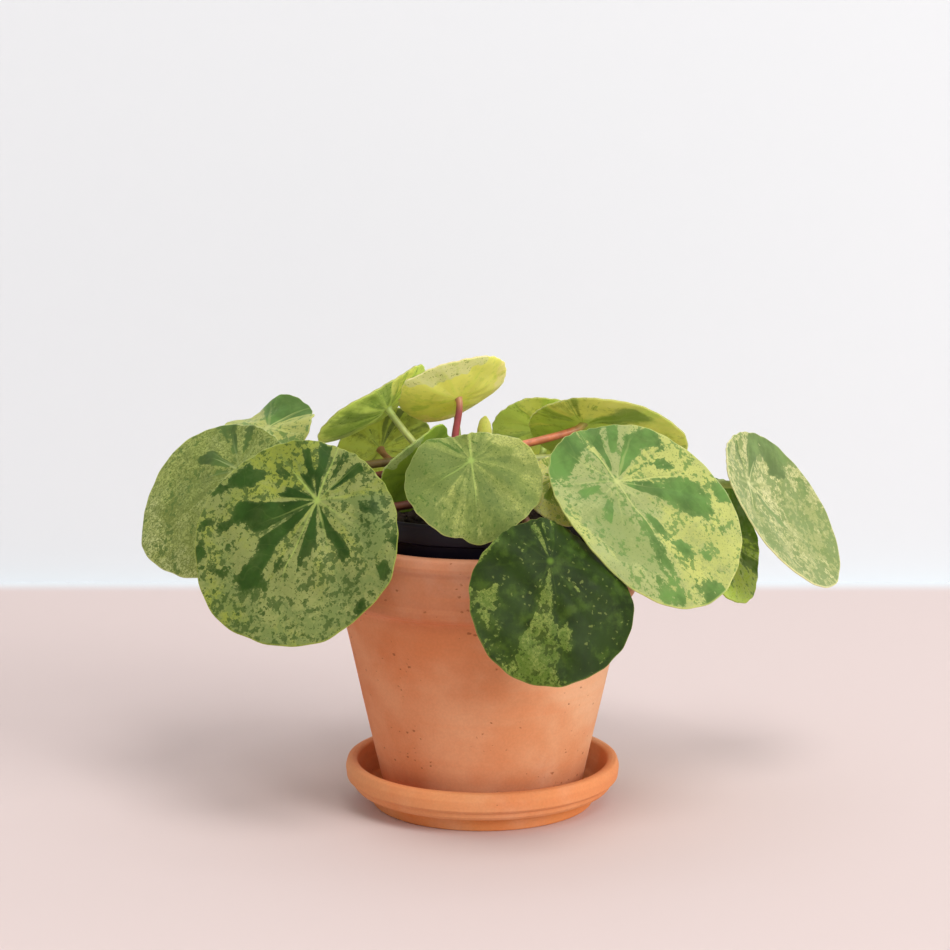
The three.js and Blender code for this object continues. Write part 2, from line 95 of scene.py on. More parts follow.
# One row for each leaf, 01 to 22. hub: where the petiole meets the blade. faces: azimuth and elevation of the upper
# side. turn: how far the tip is turned from straight downhill. size: length and width. hub_share: the hub's place on
# the length. dome, droop, wave: how the rim falls back, the tip bends back and the rim waves. root, side, lift: where
# and how the petiole leaves the trunk. stalk, tone: its colours. slot: its material slot, where the tone has another.
# amounts: how much deep green, grey green and yellow there is all over. dark, grey, warm: strokes that add to them,
# each (direction from the tip in degrees, half width in degrees, from, to as shares of the way to the rim, strength).
# On leaf 07 the broad dark stroke is painted shade.
# trim, curl: where the rim stands out and where the blade bends up, each (direction, half width, amount). ribs: the
# long pale veins, each (direction, reach).
LEAVES = [
    dict(hub=(-71, -58, 150), faces=(-104, 26), turn=-22, size=(92, 91), hub_share=0.28, dome=1.8, droop=0.5,
         wave=(1.4, 5, 0.7), root=148, side=18, lift=(-8, -2), stalk="red", tone="mottled", amounts=(0.2, 0.34, 0.3),
         dark=[(-126, 9, 0.14, 0.45, 0.7), (-139, 5, 0.42, 0.87, 0.75), (-152, 9, 0.04, 0.5, 0.8),
               (-160, 6, 0.45, 0.97, 0.75), (176, 4, 0.28, 0.97, 0.65), (156, 6, 0.26, 0.93, 0.75),
               (-85, 8, 0.64, 0.96, 0.7), (-104, 6, 0.45, 0.66, 0.55), (-71, 4, 0.9, 1.02, 0.5),
               (-80, 10, 0.04, 0.38, 0.8), (-57, 7, 0.06, 0.7, 0.75), (-43, 8, 0.04, 0.54, 0.75),
               (-22, 7, 0.04, 0.5, 0.8), (-15, 5, 0.45, 0.74, 0.75), (-3, 5, 0.42, 0.56, 0.55),
               (-6, 6, 0.6, 0.72, 0.55), (-8, 2.5, 0.28, 0.58, -0.5), (-33, 2, 0.2, 0.6, -0.4),
               (16, 6, 0.06, 0.36, 0.75), (13, 2.5, 0.4, 0.5, 0.4), (50, 7, 0.06, 0.34, 0.75),
               (56, 6, 0.3, 0.58, 0.65), (110, 8, 0.5, 0.82, 0.5), (92, 6, 0.5, 0.72, 0.35),
               (-53, 3, 0.86, 1.02, 0.5), (-50, 3, 0.72, 0.84, 0.5), (-42, 3, 0.9, 1.04, 0.55),
               (-37, 3, 0.7, 0.8, 0.45), (-27, 3, 0.74, 0.84, 0.45), (-63, 3, 0.6, 0.7, 0.4),
               (71, 5, 0.84, 0.98, 0.6), (51, 4, 0.88, 1.0, 0.6), (90, 5, 0.9, 1.05, 0.3)],
         grey=[(0, 34, 0.72, 1.1, 0.2), (60, 26, 0.55, 1.1, 0.2), (100, 20, 0.45, 0.85, 0.4)],
         warm=[(-118, 24, 0.2, 1.1, 0.6), (-70, 20, 0.35, 0.8, 0.2), (-15, 12, 0.85, 1.1, 0.4)],
         trim=[(-18, 14, 1.2), (48, 12, -1.5), (70, 12, 0.8)], ribs=[(4, 0.9), (-171, 0.75), (-114, 0.45)]),
    dict(hub=(-109, 0, 153), faces=(-127, 40), turn=-26, size=(78, 81), hub_share=0.28, dome=1, droop=4,
         wave=(0.8, 5, 2.6), root=155, side=19, lift=(12, 1), stalk="olive", tone="grey_green",
         amounts=(0.02, 0.34, 0.2),
         dark=[(-110, 9, 0.3, 1.1, 0.72), (-74, 13, 0.14, 0.62, 0.85), (-92, 4, 0.1, 0.8, -0.5),
               (-48, 8, 0.1, 0.3, 0.5), (-34, 10, 0.5, 0.7, 0.3), (112, 14, 0.3, 1.0, 0.35),
               (160, 20, 0.4, 1.05, 0.55), (-140, 8, 0.3, 1.0, 0.4)],
         grey=[(-30, 30, 0.35, 0.75, 0.12), (-125, 20, 0.7, 1.1, 0.2)],
         warm=[(0, 30, 0.75, 1.1, 0.3)],
         trim=[(-70, 24, 1.4), (-15, 14, 2.2), (-112, 10, 1.0)]),
    dict(hub=(58, -40, 155), faces=(-56, 48), turn=26, size=(94, 92), hub_share=0.3, dome=-3, droop=12,
         wave=(1.6, 4, 1), root=152, side=13, lift=(11, 3), stalk="red", tone="cream", amounts=(0.2, 0.3, 0.2),
         dark=[(45, 14, 0.08, 0.78, 0.8), (52, 5, 0.85, 1.1, 0.65), (75, 5, 0.54, 0.7, 0.6),
               (100, 10, 0.76, 0.98, 0.65), (110, 9, 0.12, 0.82, 1.0), (131, 4, 0.55, 1.05, 0.7),
               (153, 6, 0.2, 1.05, 0.8), (171, 3, 0.14, 0.62, 0.6), (-156, 34, 0.68, 1.1, 0.8),
               (-104, 7, 0.26, 0.62, 0.7), (-66, 8, 0.22, 0.5, 0.4), (-45, 4, 0.3, 0.6, 0.4),
               (12, 6, 0.15, 0.55, -0.4), (-4, 5, 0.3, 0.48, 0.65), (0, 5, 0.53, 0.68, 0.75),
               (-20, 6, 0.3, 0.72, 0.6), (-25, 8, 0.74, 0.98, 0.5), (-4, 6, 0.88, 1.08, 0.65),
               (9, 4, 0.72, 0.84, 0.5), (30, 4, 0.8, 0.9, 0.4)],
         grey=[(-58, 16, 0.2, 0.75, 0.4), (-75, 40, 0.1, 0.85, 0.12), (-30, 8, 0.4, 0.8, 0.3)],
         warm=[(72, 32, 0.12, 1.1, 0.5), (8, 26, 0.36, 1.1, 0.4), (-84, 16, 0.8, 1.1, 0.4), (165, 8, 0.4, 1.1, 0.5)],
         trim=[(-150, 24, 2.4), (42, 22, 2.2), (88, 14, -2.0), (-18, 14, 1.6), (0, 6, 0.8)],
         ribs=[(-14, 0.8), (63, 0.9), (168, 0.6)]),
    dict(hub=(28, -93, 131), faces=(-75, 22), turn=-2, size=(72, 72), hub_share=0.26, dome=1.8, droop=1,
         wave=(1.4, 6, 0.6), root=144, side=12, lift=(11, 13), stalk="red", tone="deep", amounts=(0.93, 0.42, 0.4),
         dark=[(-10, 8, 0.1, 0.55, -0.85), (-11, 13, 0.5, 1.1, -0.75), (41, 4, 0.2, 0.38, -0.65),
               (-160, 5, 0.16, 0.85, -0.65), (-175, 3, 0.6, 1.1, -0.5), (167, 4, 0.6, 1.1, -0.55),
               (-112, 4, 0.44, 0.55, -0.6), (-128, 4, 0.5, 0.6, -0.5), (-62, 8, 0.66, 0.9, -0.65),
               (-68, 8, 0.92, 1.1, -0.5), (-104, 12, 0.9, 1.1, -0.5), (9, 4, 0.56, 0.67, -0.5),
               (-25, 4, 0.45, 0.6, 0.5), (-42, 10, 0.7, 1.1, -0.3), (-75, 3, 0.54, 0.62, -0.4)],
         grey=[(-12, 16, 0.5, 1.1, 0.15)],
         trim=[(15, 16, -1.2), (62, 20, 1.2), (165, 24, 1.2)], curl=[(118, 50, -20.0)], ribs=[]),
    dict(hub=(-5, -50, 166), faces=(-89, 40), turn=6, size=(53, 60), hub_share=0.32, dome=1.5, droop=5,
         wave=(1.9, 5, 5.3), root=138, side=7, lift=(4, 5), stalk="green", tone="soft", amounts=(0.1, 0.46, 0.3),
         dark=[(-30, 14, 0.4, 1.05, 0.26), (-150, 28, 0.3, 1.05, 0.3)],
         grey=[(-75, 40, 0.1, 1.1, 0.25), (95, 40, 0.6, 1.1, -0.25)],
         warm=[(128, 14, 0.7, 1.1, 0.7), (95, 26, 0.7, 1.1, 0.35), (178, 2.5, 0.05, 1.1, 0.7), (1, 2, 0.05, 0.9, 0.5)],
         trim=[(180, 34, -3.4), (-13, 3.5, -1.6), (2, 10, 1.4), (-120, 10, 0.6)],
         ribs=[(0, 0.5), (178, 0.5), (-58, 0.4)]),
    dict(hub=(121, 15, 144), faces=(-29, 33), turn=44, size=(89, 75), hub_share=0.22, dome=-4, droop=3,
         wave=(0.3, 5, 5.1), root=149, side=-6, lift=(24, 10), stalk="green", tone="ivory", amounts=(0.12, 0.42, 0.12),
         dark=[(82, 12, 0.12, 1.0, 0.75), (58, 12, 0.64, 1.05, 0.7), (122, 5, 0.3, 0.86, 0.75),
               (45, 6, 0.5, 0.72, 0.6), (34, 5, 0.8, 0.95, 0.45), (-15, 5, 0.12, 0.42, 0.65)],
         grey=[(8, 22, 0.45, 1.1, 0.22), (-60, 30, 0.3, 1.1, 0.1)],
         warm=[(20, 20, 0.1, 0.5, 0.3)],
         trim=[(-70, 30, -0.8), (70, 24, 1.2)]),
    dict(hub=(111, 28, 118), faces=(-35, 16), turn=5, size=(60, 49), hub_share=0.44, dome=-2, droop=-1,
         wave=(0.9, 5, 2), root=140, side=-1, lift=(34, 23), stalk="green", tone="shaded", amounts=(0.22, 0.4, 0.3),
         # The broad dark stroke over the top (112) is painted shade, where the leaves above shade this leaf.
         dark=[(112, 46, 0.3, 1.1, 0.7), (38, 9, 0.55, 1.05, 0.5)],
         grey=[(0, 40, 0.7, 1.1, -0.2)],
         warm=[(0, 35, 0.5, 1.1, 0.3)]),
    dict(hub=(32, -37, 156), faces=(-80, 48), turn=10, size=(37, 32), hub_share=0.34, dome=1.5, droop=1.5,
         wave=(1, 5, 4.2), root=148, side=-7, lift=(7, 3), stalk="green", tone="yellow", slot="soft",
         amounts=(0.12, 0.15, 0.25)),
    dict(hub=(-100, 50, 164), faces=(-128, 60), turn=85, size=(49, 47), hub_share=0.49, dome=1, droop=-1,
         wave=(3.4, 4, 0.2), root=140, side=46, lift=(6, -6), stalk="green", tone="cream", slot="grey_green",
         amounts=(0.12, 0.3, 0.6),
         dark=[(100, 44, 0.06, 1.1, 0.8), (8, 4, 0.3, 0.62, 0.5), (-3, 4, 0.84, 1.1, 0.6)],
         warm=[(15, 28, 0.2, 1.1, 0.5)],
         trim=[(52, 14, -2.4), (2, 12, 1.8), (165, 16, -1.5)]),
    dict(hub=(-43, 8, 180), faces=(152, 52), turn=-7, size=(58, 61), hub_share=0.35, dome=-6, droop=3,
         wave=(0.4, 4, 2.4), root=145, side=3, lift=(8, 1), stalk="green", tone="fresh", amounts=(0.3, 0.4, 0.2),
         dark=[(80, 45, 0.15, 0.9, 0.3), (30, 20, 0.3, 0.8, 0.2), (118, 9, 0.3, 1.0, 0.3)],
         grey=[(140, 7, 0.2, 1.1, 0.6)],
         warm=[(165, 20, 0.5, 1.1, 0.6)],
         trim=[(-160, 24, 4.0), (95, 26, 1.2), (30, 20, -2.5)], curl=[(-25, 60, 5.0)]),
    dict(hub=(-48, 57, 153), faces=(116, 30), turn=-14, size=(58, 52), hub_share=0.46, dome=2, droop=2,
         wave=(1.6, 5, 1.1), root=139, side=-3, lift=(2, 0), stalk="red", tone="mottled", amounts=(0.1, 0.3, 0.3),
         dark=[(-170, 5, 0.1, 1.1, 0.5), (-140, 6, 0.2, 1.1, 0.45), (-112, 6, 0.3, 1.1, 0.5), (140, 8, 0.1, 0.8, 0.4)],
         grey=[(-155, 6, 0.1, 1.1, 0.3)],
         warm=[(-126, 6, 0.2, 1.1, 0.4)]),
    dict(hub=(-30, -21, 156), faces=(138, 37), turn=-9, size=(44, 38), hub_share=0.54, dome=-1.5, droop=8,
         wave=(0.9, 4, 0.2), root=150, side=-18, lift=(7, 4), stalk="green", tone="shaded", amounts=(0.3, 0.05, 0.2),
         dark=[(-120, 30, 0.3, 1.0, 0.3)],
         grey=[(140, 34, 0.78, 1.2, 0.9)],
         trim=[(-165, 18, 3.0)]),
    dict(hub=(-11, 5, 185), faces=(125, 49), turn=68, size=(51, 54), hub_share=0.5, dome=-5, droop=-4,
         wave=(0.6, 4, 3.8), root=155, side=10, lift=(6, 1), stalk="pink", tone="yellow", amounts=(0.1, 0.05, 0.1),
         dark=[(-20, 10, 0.5, 0.85, 0.45), (170, 8, 0.7, 1.0, 0.35), (120, 8, 0.5, 0.8, 0.35),
               (20, 30, 0.05, 0.35, 0.35), (100, 12, 0.1, 0.5, 0.3)],
         grey=[(38, 10, 0.86, 1.2, 0.8), (62, 20, 0.64, 1.2, 0.9), (92, 14, 0.68, 1.2, 0.9), (114, 9, 0.84, 1.2, 0.8)],
         warm=[(-78, 30, 0.7, 1.2, 0.7), (175, 26, 0.8, 1.2, 0.6), (-140, 26, 0.75, 1.2, 0.4)],
         trim=[(30, 12, 1.5), (-65, 5, 1.2), (-82, 7, -1.6)]),
    dict(hub=(30, 59, 162), faces=(80, 36), turn=-8, size=(52, 54), hub_share=0.43, dome=1.5, droop=2,
         wave=(0.3, 5, 5.5), root=149, side=-12, lift=(23, -26), stalk="green", tone="fresh", amounts=(0.15, 0.4, 0.3),
         dark=[(60, 30, 0.3, 0.9, 0.2)],
         warm=[(174, 10, 0.5, 1.1, 0.7)]),
    dict(hub=(46, 20, 171), faces=(75, 55), turn=-38, size=(74, 75), hub_share=0.29, dome=-1, droop=3,
         wave=(0.2, 4, 5), root=155, side=9, lift=(9, 7), stalk="coral", tone="fresh", amounts=(0.12, 0.3, 0.3),
         dark=[(-76, 15, 0.06, 0.86, 0.85), (170, 40, 0.2, 1.1, 0.3), (-143, 4, 0.3, 1.05, 0.5)],
         warm=[(-112, 22, 0.25, 1.1, 0.7), (-40, 20, 0.5, 1.1, 0.3), (-166, 16, 0.4, 1.1, 0.5)],
         trim=[(-60, 16, -1.5)]),
    dict(hub=(1, 24, 161), faces=(88, 16), turn=180, size=(18, 12), hub_share=0.22, dome=-1.5, droop=0,
         wave=(0.3, 4, 1), root=151, side=4, lift=(1, 0), stalk="green", tone="yellow", amounts=(0.1, 0.2, 0.3),
         trim=[(0, 500, -1.6), (90, 40, -2.2), (-90, 40, -2.2), (32, 18, -2.0), (-32, 18, -2.0), (0, 10, 1.5)]),
    dict(hub=(-12, 36, 184), faces=(80, 74), turn=0, size=(26, 24), hub_share=0.4, dome=1, droop=1, wave=(0.5, 5, 1),
         root=155, side=-3, lift=(-2, -13), stalk="green", tone="fresh", amounts=(0.1, 0.3, 0.3)),
    dict(hub=(-14, 80, 143), faces=(98, 32), turn=8, size=(66, 62), hub_share=0.26, dome=3, droop=3,
         wave=(1.4, 5, 0.9), root=143, side=-3, lift=(13, 1), stalk="red", tone="mottled", amounts=(0.16, 0.35, 0.3)),
    dict(hub=(84, 66, 142), faces=(36, 32), turn=0, size=(72, 68), hub_share=0.3, dome=3, droop=2, wave=(1.2, 5, 0.3),
         root=142, side=8, lift=(20, -2), stalk="green", tone="cream", amounts=(0.16, 0.35, 0.3)),
    dict(hub=(36, 100, 112), faces=(74, 14), turn=-6, size=(64, 60), hub_share=0.28, dome=2, droop=2,
         wave=(1, 6, 1.8), root=137, side=2, lift=(26, 31), stalk="green", tone="deep", amounts=(0.55, 0.3, 0.3)),
    dict(hub=(-96, 20, 124), faces=(172, 20), turn=6, size=(54, 50), hub_share=0.3, dome=2, droop=2, wave=(1, 5, 4.6),
         root=137, side=1, lift=(30, 22), stalk="red", tone="grey_green", amounts=(0.1, 0.4, 0.3)),
    dict(hub=(84, 8, 128), faces=(4, 22), turn=-14, size=(56, 52), hub_share=0.3, dome=2, droop=2, wave=(1, 5, 2.2),
         root=137, side=-17, lift=(26, 20), stalk="green", tone="soft", amounts=(0.1, 0.4, 0.3)),
]
for number, leaf in enumerate(LEAVES, 1):
    leaf["id"] = f"{number:02d}"

# The colours of each tone of leaf, 0 to 255: deep green patches, grey green patches, the light ground and its yellow
# parts, the veins, and the underside.
TONE_PARTS = ("dark", "grey", "light", "pale", "vein", "under")
TONES = {
    "mottled": ((42, 72, 24), (102, 120, 66), (134, 142, 84), (136, 146, 58), (160, 180, 92), (170, 184, 86)),
    "grey_green": ((80, 104, 50), (102, 116, 56), (143, 153, 86), (172, 178, 122), (160, 172, 116), (150, 174, 90)),
    "cream": ((92, 126, 62), (128, 142, 86), (151, 159, 104), (172, 176, 102), (186, 192, 120), (170, 192, 90)),
    "ivory": ((104, 126, 72), (134, 144, 88), (186, 183, 132), (208, 202, 152), (196, 196, 140), (170, 192, 90)),
    "deep": ((33, 52, 12), (66, 94, 27), (116, 130, 60), (128, 142, 68), (96, 126, 36), (120, 150, 60)),
    "soft": ((78, 108, 42), (102, 120, 60), (134, 146, 76), (174, 178, 102), (156, 178, 92), (150, 182, 72)),
    "fresh": ((92, 122, 40), (150, 172, 92), (164, 186, 84), (214, 212, 124), (190, 208, 118), (186, 204, 108)),
    "shaded": ((90, 127, 37), (164, 182, 128), (158, 188, 72), (176, 194, 90), (150, 176, 70), (132, 158, 60)),
    "yellow": ((158, 184, 66), (210, 211, 158), (250, 244, 132), (255, 226, 160), (216, 226, 100), (226, 224, 118)),
}
SLOTS = {"ivory": "cream", "shaded": "fresh"}  # the others have a slot of their own

# How each tone is marked: worm-like mottling on the ground, the reach of the small dark blotches, pale flecks in the
# deep green, how ragged the patches are in the small, how far the veins show, how far out the patches run along them,
# grey clouds in the deep green, and how light the painted highlight along the rim is.
MARK_PARTS = ("mottle", "blotches", "flecks", "fine", "veins", "streaks", "clouds", "rim")
MARKS = {tone: dict(zip(MARK_PARTS, row)) for tone, row in {
    "mottled": (0.2, 0.85, 0.14, 0.8, 0.3, 1.15, 0.12, 0.95),
    "grey_green": (0.9, 0.5, 0.2, 0.9, 0.2, 1.05, 0.1, 0.9),
    "cream": (0.15, 0.7, 0.12, 0.8, 0.3, 1.7, 0.12, 1.0),
    "ivory": (0.7, 1.1, 0.12, 0.9, 0.24, 1.3, 0.1, 1.0),
    "shaded": (0.3, 0.2, 0.1, 0.6, 0.24, 1.1, 0.2, 0.5),
    "deep": (0.6, 0.7, 0.95, 1.1, 0.07, 1.1, 0.6, 0.6),
    "soft": (0.45, 0.1, 0.1, 0.5, 0.09, 1.1, 0.2, 0.9),
    "fresh": (0.3, 0.3, 0.1, 0.6, 0.3, 1.2, 0.2, 0.45),
    "yellow": (0.3, 0.7, 0.1, 0.7, 0.3, 1.1, 0.1, 0.6),
}.items()}

# The colours of the stalks, 0 to 255: at the trunk, along the middle and at the blade.
STALK_COLOURS = {
    "red": ((96, 58, 46), (132, 76, 60), (186, 140, 92)),
    "pink": ((150, 60, 84), (182, 86, 88), (216, 152, 100)),
    "coral": ((190, 104, 74), (214, 126, 84), (196, 186, 92)),
    "olive": ((96, 66, 44), (112, 92, 52), (150, 160, 84)),
    "green": ((140, 146, 84), (184, 192, 106), (176, 196, 96)),
}


# ---- What a user can change -----------------------------------------------------------------------

def length_property(name, description, default):
    return FloatProperty(name=name, description=description, default=default * MM, min=0, unit="LENGTH",
                         subtype="DISTANCE", precision=4)


def colour_property(name, description, default):
    return FloatVectorProperty(name=name, description=description, default=default, min=0, max=1, size=3,
                               subtype="COLOR")


class PotSettings(bpy.types.PropertyGroup):
    """The sizes and colours of the pots and the saucer."""

    rim_radius: length_property("Rim radius", "The clay pot's radius over its rim band", 70)
    mouth_radius: length_property("Mouth radius", "The clay pot's inner radius at its top", 61.5)
    base_radius: length_property("Base radius", "The clay pot's radius at its base", 45)
    band_height: length_property("Band height", "The height of the clay pot's rim band", 28.5)
    saucer_radius: length_property("Saucer radius", "The saucer's radius over its lip", 62.5)
    saucer_height: length_property("Saucer height", "The saucer's height", 20.5)
    nursery_radius: length_property("Nursery pot radius", "The nursery pot's radius at its rim", 60)
    sides: IntProperty(name="Sides", description="Facets round each turned body", default=144, min=24)
    clay: colour_property("Pot clay", "The clay pot's main colour", srgb(243, 176, 130))
    clay_dark: colour_property("Fired clay", "The clay pot's redder parts", srgb(224, 132, 78))
    clay_chalk: colour_property("Chalky clay", "The clay pot's pale bloom", srgb(244, 202, 172))
    saucer_clay: colour_property("Saucer clay", "The saucer's main colour", srgb(230, 157, 104))
    plastic: colour_property("Plastic", "The nursery pot's colour", srgb(29, 23, 41))
    soil: colour_property("Soil", "The soil's colour", srgb(48, 36, 30))
    bark: colour_property("Bark", "The trunk's colour", srgb(112, 84, 66))


class LeafSettings(bpy.types.PropertyGroup):
    """The sizes that all the leaves share."""

    thickness: length_property("Thickness", "A blade's thickness", 0.9)
    relief: length_property("Relief", "How far the blade swells between its veins", 0.24)
    veins: IntProperty(name="Veins", description="Main veins that leave the hub", default=9, min=3, max=15)
    sectors: IntProperty(name="Sectors", description="Divisions round a large blade", default=192, min=48)
    rings: IntProperty(name="Rings", description="Divisions from the hub to the rim", default=32, min=8)


class LeafColours(bpy.types.PropertyGroup):
    """The colours of each tone of leaf."""


for tone, row in TONES.items():
    for part, colour in zip(TONE_PARTS, row):
        LeafColours.__annotations__[f"{tone}_{part}"] = colour_property(
            f"{tone} {part}".replace("_", " ").capitalize(), f"The {part} colour of the {tone} leaves", srgb(*colour))


class StageSettings(bpy.types.PropertyGroup):
    """The floor, the wall and the light."""

    floor: colour_property("Floor", "The floor's colour", srgb(214, 197, 193))
    wall: colour_property("Wall", "The wall's colour", srgb(222, 226, 229))
    wall_distance: length_property("Wall distance", "How far the wall stands behind the pot", 458)
    key_power: FloatProperty(name="Key light", description="Power of the light from the right", default=185, min=0,
                             unit="POWER")
    top_power: FloatProperty(name="Top light", description="Power of the light from above", default=135, min=0,
                             unit="POWER")
    ambient: FloatProperty(name="Ambient", description="Strength of the light from all round", default=0.6, min=0)


# ---- Modelling ------------------------------------------------------------------------------------

def deselect_all():
    if bpy.context.object and bpy.context.object.mode != "OBJECT":
        bpy.ops.object.mode_set(mode="OBJECT")
    bpy.ops.object.select_all(action="DESELECT")


def make_active(piece):
    deselect_all()
    piece.select_set(True)
    bpy.context.view_layer.objects.active = piece


def select_vertices(piece, wanted):
    """Selects the vertices whose place passes a test, in edit mode."""
    bpy.ops.object.mode_set(mode="EDIT")
    bpy.ops.mesh.select_mode(type="VERT")
    bpy.ops.mesh.select_all(action="DESELECT")
    bpy.ops.object.mode_set(mode="OBJECT")
    for vertex in piece.data.vertices:
        vertex.select = wanted(vertex.co)
    bpy.ops.object.mode_set(mode="EDIT")


def rounded(corners, steps=5):
    """Rounds the corners of a profile of (radius, height, rounding)."""
    points = []
    for i, (r, z, rounding) in enumerate(corners):
        here = Vector((r, z))
        if rounding == 0 or i in (0, len(corners) - 1):
            points.append((r, z))
            continue
        before = Vector(corners[i - 1][:2]) - here
        after = Vector(corners[i + 1][:2]) - here
        cut = min(rounding / math.tan(before.angle(after) / 2), before.length * 0.48, after.length * 0.48)
        first = here + before.normalized() * cut
        last = here + after.normalized() * cut
        for k in range(steps + 1):
            t = k / steps
            point = first * (1 - t) ** 2 + here * 2 * t * (1 - t) + last * t ** 2
            points.append((point.x, point.y))
    return points


def spaced(points, step):
    """Adds points to a profile so that none of its stretches is longer than a step."""
    result = [points[0]]
    for (r0, z0), (r1, z1) in zip(points, points[1:]):
        count = max(1, math.ceil(math.hypot(r1 - r0, z1 - z0) / step))
        result += [(r0 + (r1 - r0) * k / count, z0 + (z1 - z0) * k / count) for k in range(1, count + 1)]
    return result


def turned(name, profile, sides):
    """A closed turned body: a ring that is extruded, scaled and lifted along a profile of (radius, height)."""
    deselect_all()
    on_axis = profile[0][0] == 0
    points = profile[1:] if on_axis else profile
    r, z = points[0]
    bpy.ops.mesh.primitive_circle_add(vertices=sides, radius=r * MM, location=(0, 0, z * MM),
                                      fill_type="TRIFAN" if on_axis else "NOTHING")
    piece = bpy.context.object
    piece.name = name
    ring = r * MM
    select_vertices(piece, lambda co: co.length > ring * 0.5)
    for next_r, next_z in points[1:]:
        bpy.ops.mesh.extrude_edges_move()
        lift = (0, 0, (next_z - z) * MM)
        if next_r == 0:
            bpy.ops.transform.translate(value=lift)
            bpy.ops.mesh.merge(type="CENTER")
            break
        share = next_r / r
        bpy.ops.transform.resize(value=(share, share, 1), center_override=(0, 0, z * MM))
        bpy.ops.transform.translate(value=lift)
        r, z = next_r, next_z
    bpy.ops.mesh.select_all(action="SELECT")
    bpy.ops.mesh.remove_doubles(threshold=1e-6)
    bpy.ops.mesh.normals_make_consistent(inside=False)
    bpy.ops.object.mode_set(mode="OBJECT")
    bpy.ops.object.transform_apply(location=True, rotation=True, scale=True)
    return piece


def uneven(piece, strength, size):
    """Presses slow, slight hollows into a surface."""
    make_active(piece)
    texture = bpy.data.textures.new(piece.name + "_hollows", "CLOUDS")
    texture.noise_scale = size * MM
    modifier = piece.modifiers.new("hollows", "DISPLACE")
    modifier.texture = texture
    modifier.texture_coords = "LOCAL"
    modifier.strength = strength * MM
    modifier.mid_level = 0.5
    bpy.ops.object.modifier_apply(modifier=modifier.name)


def finish_piece(piece, material, node, smooth_angle=40):
    make_active(piece)
    piece.data.materials.clear()
    piece.data.materials.append(material)
    bpy.ops.object.shade_smooth_by_angle(angle=math.radians(smooth_angle))
    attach(piece, "root")
    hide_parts(node)


def coordinates(piece):
    places = np.empty(len(piece.data.vertices) * 3)
    piece.data.vertices.foreach_get("co", places)
    return places.reshape(-1, 3)


def move_to(piece, places):
    piece.data.vertices.foreach_set("co", np.asarray(places, float).ravel())
    piece.data.update()


def store(piece, name, values):
    """Stores a number for each vertex, for the material to read."""
    attribute = piece.data.attributes.new(name, "FLOAT", "POINT")
    attribute.data.foreach_set("value", np.asarray(values, np.float32))


def store_vectors(piece, name, values):
    attribute = piece.data.attributes.new(name, "FLOAT_VECTOR", "POINT")
    attribute.data.foreach_set("vector", np.asarray(values, np.float32).ravel())


# ---- Materials ------------------------------------------------------------------------------------

class Value:
    """What a node puts out. Plain arithmetic on it adds the Math nodes."""

    def __init__(self, tree, socket):
        self.tree = tree
        self.socket = socket

    def __add__(self, other):
        return self.tree.math("ADD", self, other)

    def __sub__(self, other):
        return self.tree.math("SUBTRACT", self, other)

    def __rsub__(self, other):
        return self.tree.math("SUBTRACT", other, self)

    def __mul__(self, other):
        return self.tree.math("MULTIPLY", self, other)

    def __truediv__(self, other):
        return self.tree.math("DIVIDE", self, other)

    def __rtruediv__(self, other):
        return self.tree.math("DIVIDE", other, self)


class Tree:
    """A node tree with short ways to add its nodes. Each input is a number, a tuple or a Value."""

    def __init__(self, tree):
        self.tree = tree

    def plug(self, socket, value):
        if isinstance(value, Value):
            self.tree.links.new(value.socket, socket)
        else:
            socket.default_value = (*value, 1) if isinstance(value, tuple) and socket.type == "RGBA" else value

    def node(self, kind, inputs, **settings):
        node = self.tree.nodes.new("ShaderNode" + kind)
        for key, value in settings.items():
            setattr(node, key, value)
        for key, value in inputs.items():
            self.plug(node.inputs[key], value)
        return node

    def value(self, kind, inputs, output=0, **settings):
        return Value(self, self.node(kind, inputs, **settings).outputs[output])

    def values(self, kind, inputs, **settings):
        """All that a node puts out, by name."""
        return {socket.name: Value(self, socket) for socket in self.node(kind, inputs, **settings).outputs}

    def math(self, operation, *values):
        return self.value("Math", dict(enumerate(values)), operation=operation)

    def vector(self, operation, *values):
        return self.value("VectorMath", dict(enumerate(values)), operation=operation)

    def split(self, vector):
        return tuple(self.values("SeparateXYZ", {"Vector": vector}).values())

    def join(self, x, y, z):
        return self.value("CombineXYZ", {"X": x, "Y": y, "Z": z})

    def length(self, x, y):
        return self.math("SQRT", x * x + y * y)

    def step(self, value, low, high):
        """Rises smoothly from 0 at low to 1 at high."""
        return self.value("MapRange", {"Value": value, "From Min": low, "From Max": high},
                          interpolation_type="SMOOTHSTEP")

    def spread(self, value, least, most, low=0, high=1):
        """Runs evenly from least where the value is low to most where it is high."""
        return self.value("MapRange", {"Value": value, "From Min": low, "From Max": high,
                                       "To Min": least, "To Max": most})

    def noise(self, vector, scale, detail=2, roughness=0.5, kind="Fac"):
        inputs = {"Vector": vector, "Scale": scale, "Detail": detail, "Roughness": roughness}
        return self.value("TexNoise", inputs, kind)

    def mix(self, share, a, b, blend="MIX"):
        return self.value("Mix", {0: share, 6: a, 7: b}, 2, data_type="RGBA", blend_type=blend)

    def tint(self, share, colour, tint):
        return self.mix(share, colour, tint, "MULTIPLY")

    def attribute(self, name, kind="Fac"):
        return self.value("Attribute", {}, kind, attribute_name=name)

    def place(self):
        return self.value("TexCoord", {}, "Object")

    def group(self, group, **inputs):
        return self.values("Group", inputs, node_tree=group)


def new_group(name, **inputs):
    """Starts a shader node group whose inputs have these defaults, a tuple for a vector. Gives its Tree and inputs."""
    group = bpy.data.node_groups.new(name, "ShaderNodeTree")
    for key, value in inputs.items():
        kind = "NodeSocketVector" if isinstance(value, tuple) else "NodeSocketFloat"
        group.interface.new_socket(name=key, in_out="INPUT", socket_type=kind).default_value = value
    tree = Tree(group)
    sockets = group.nodes.new("NodeGroupInput").outputs
    return tree, *(Value(tree, sockets[key]) for key in inputs)


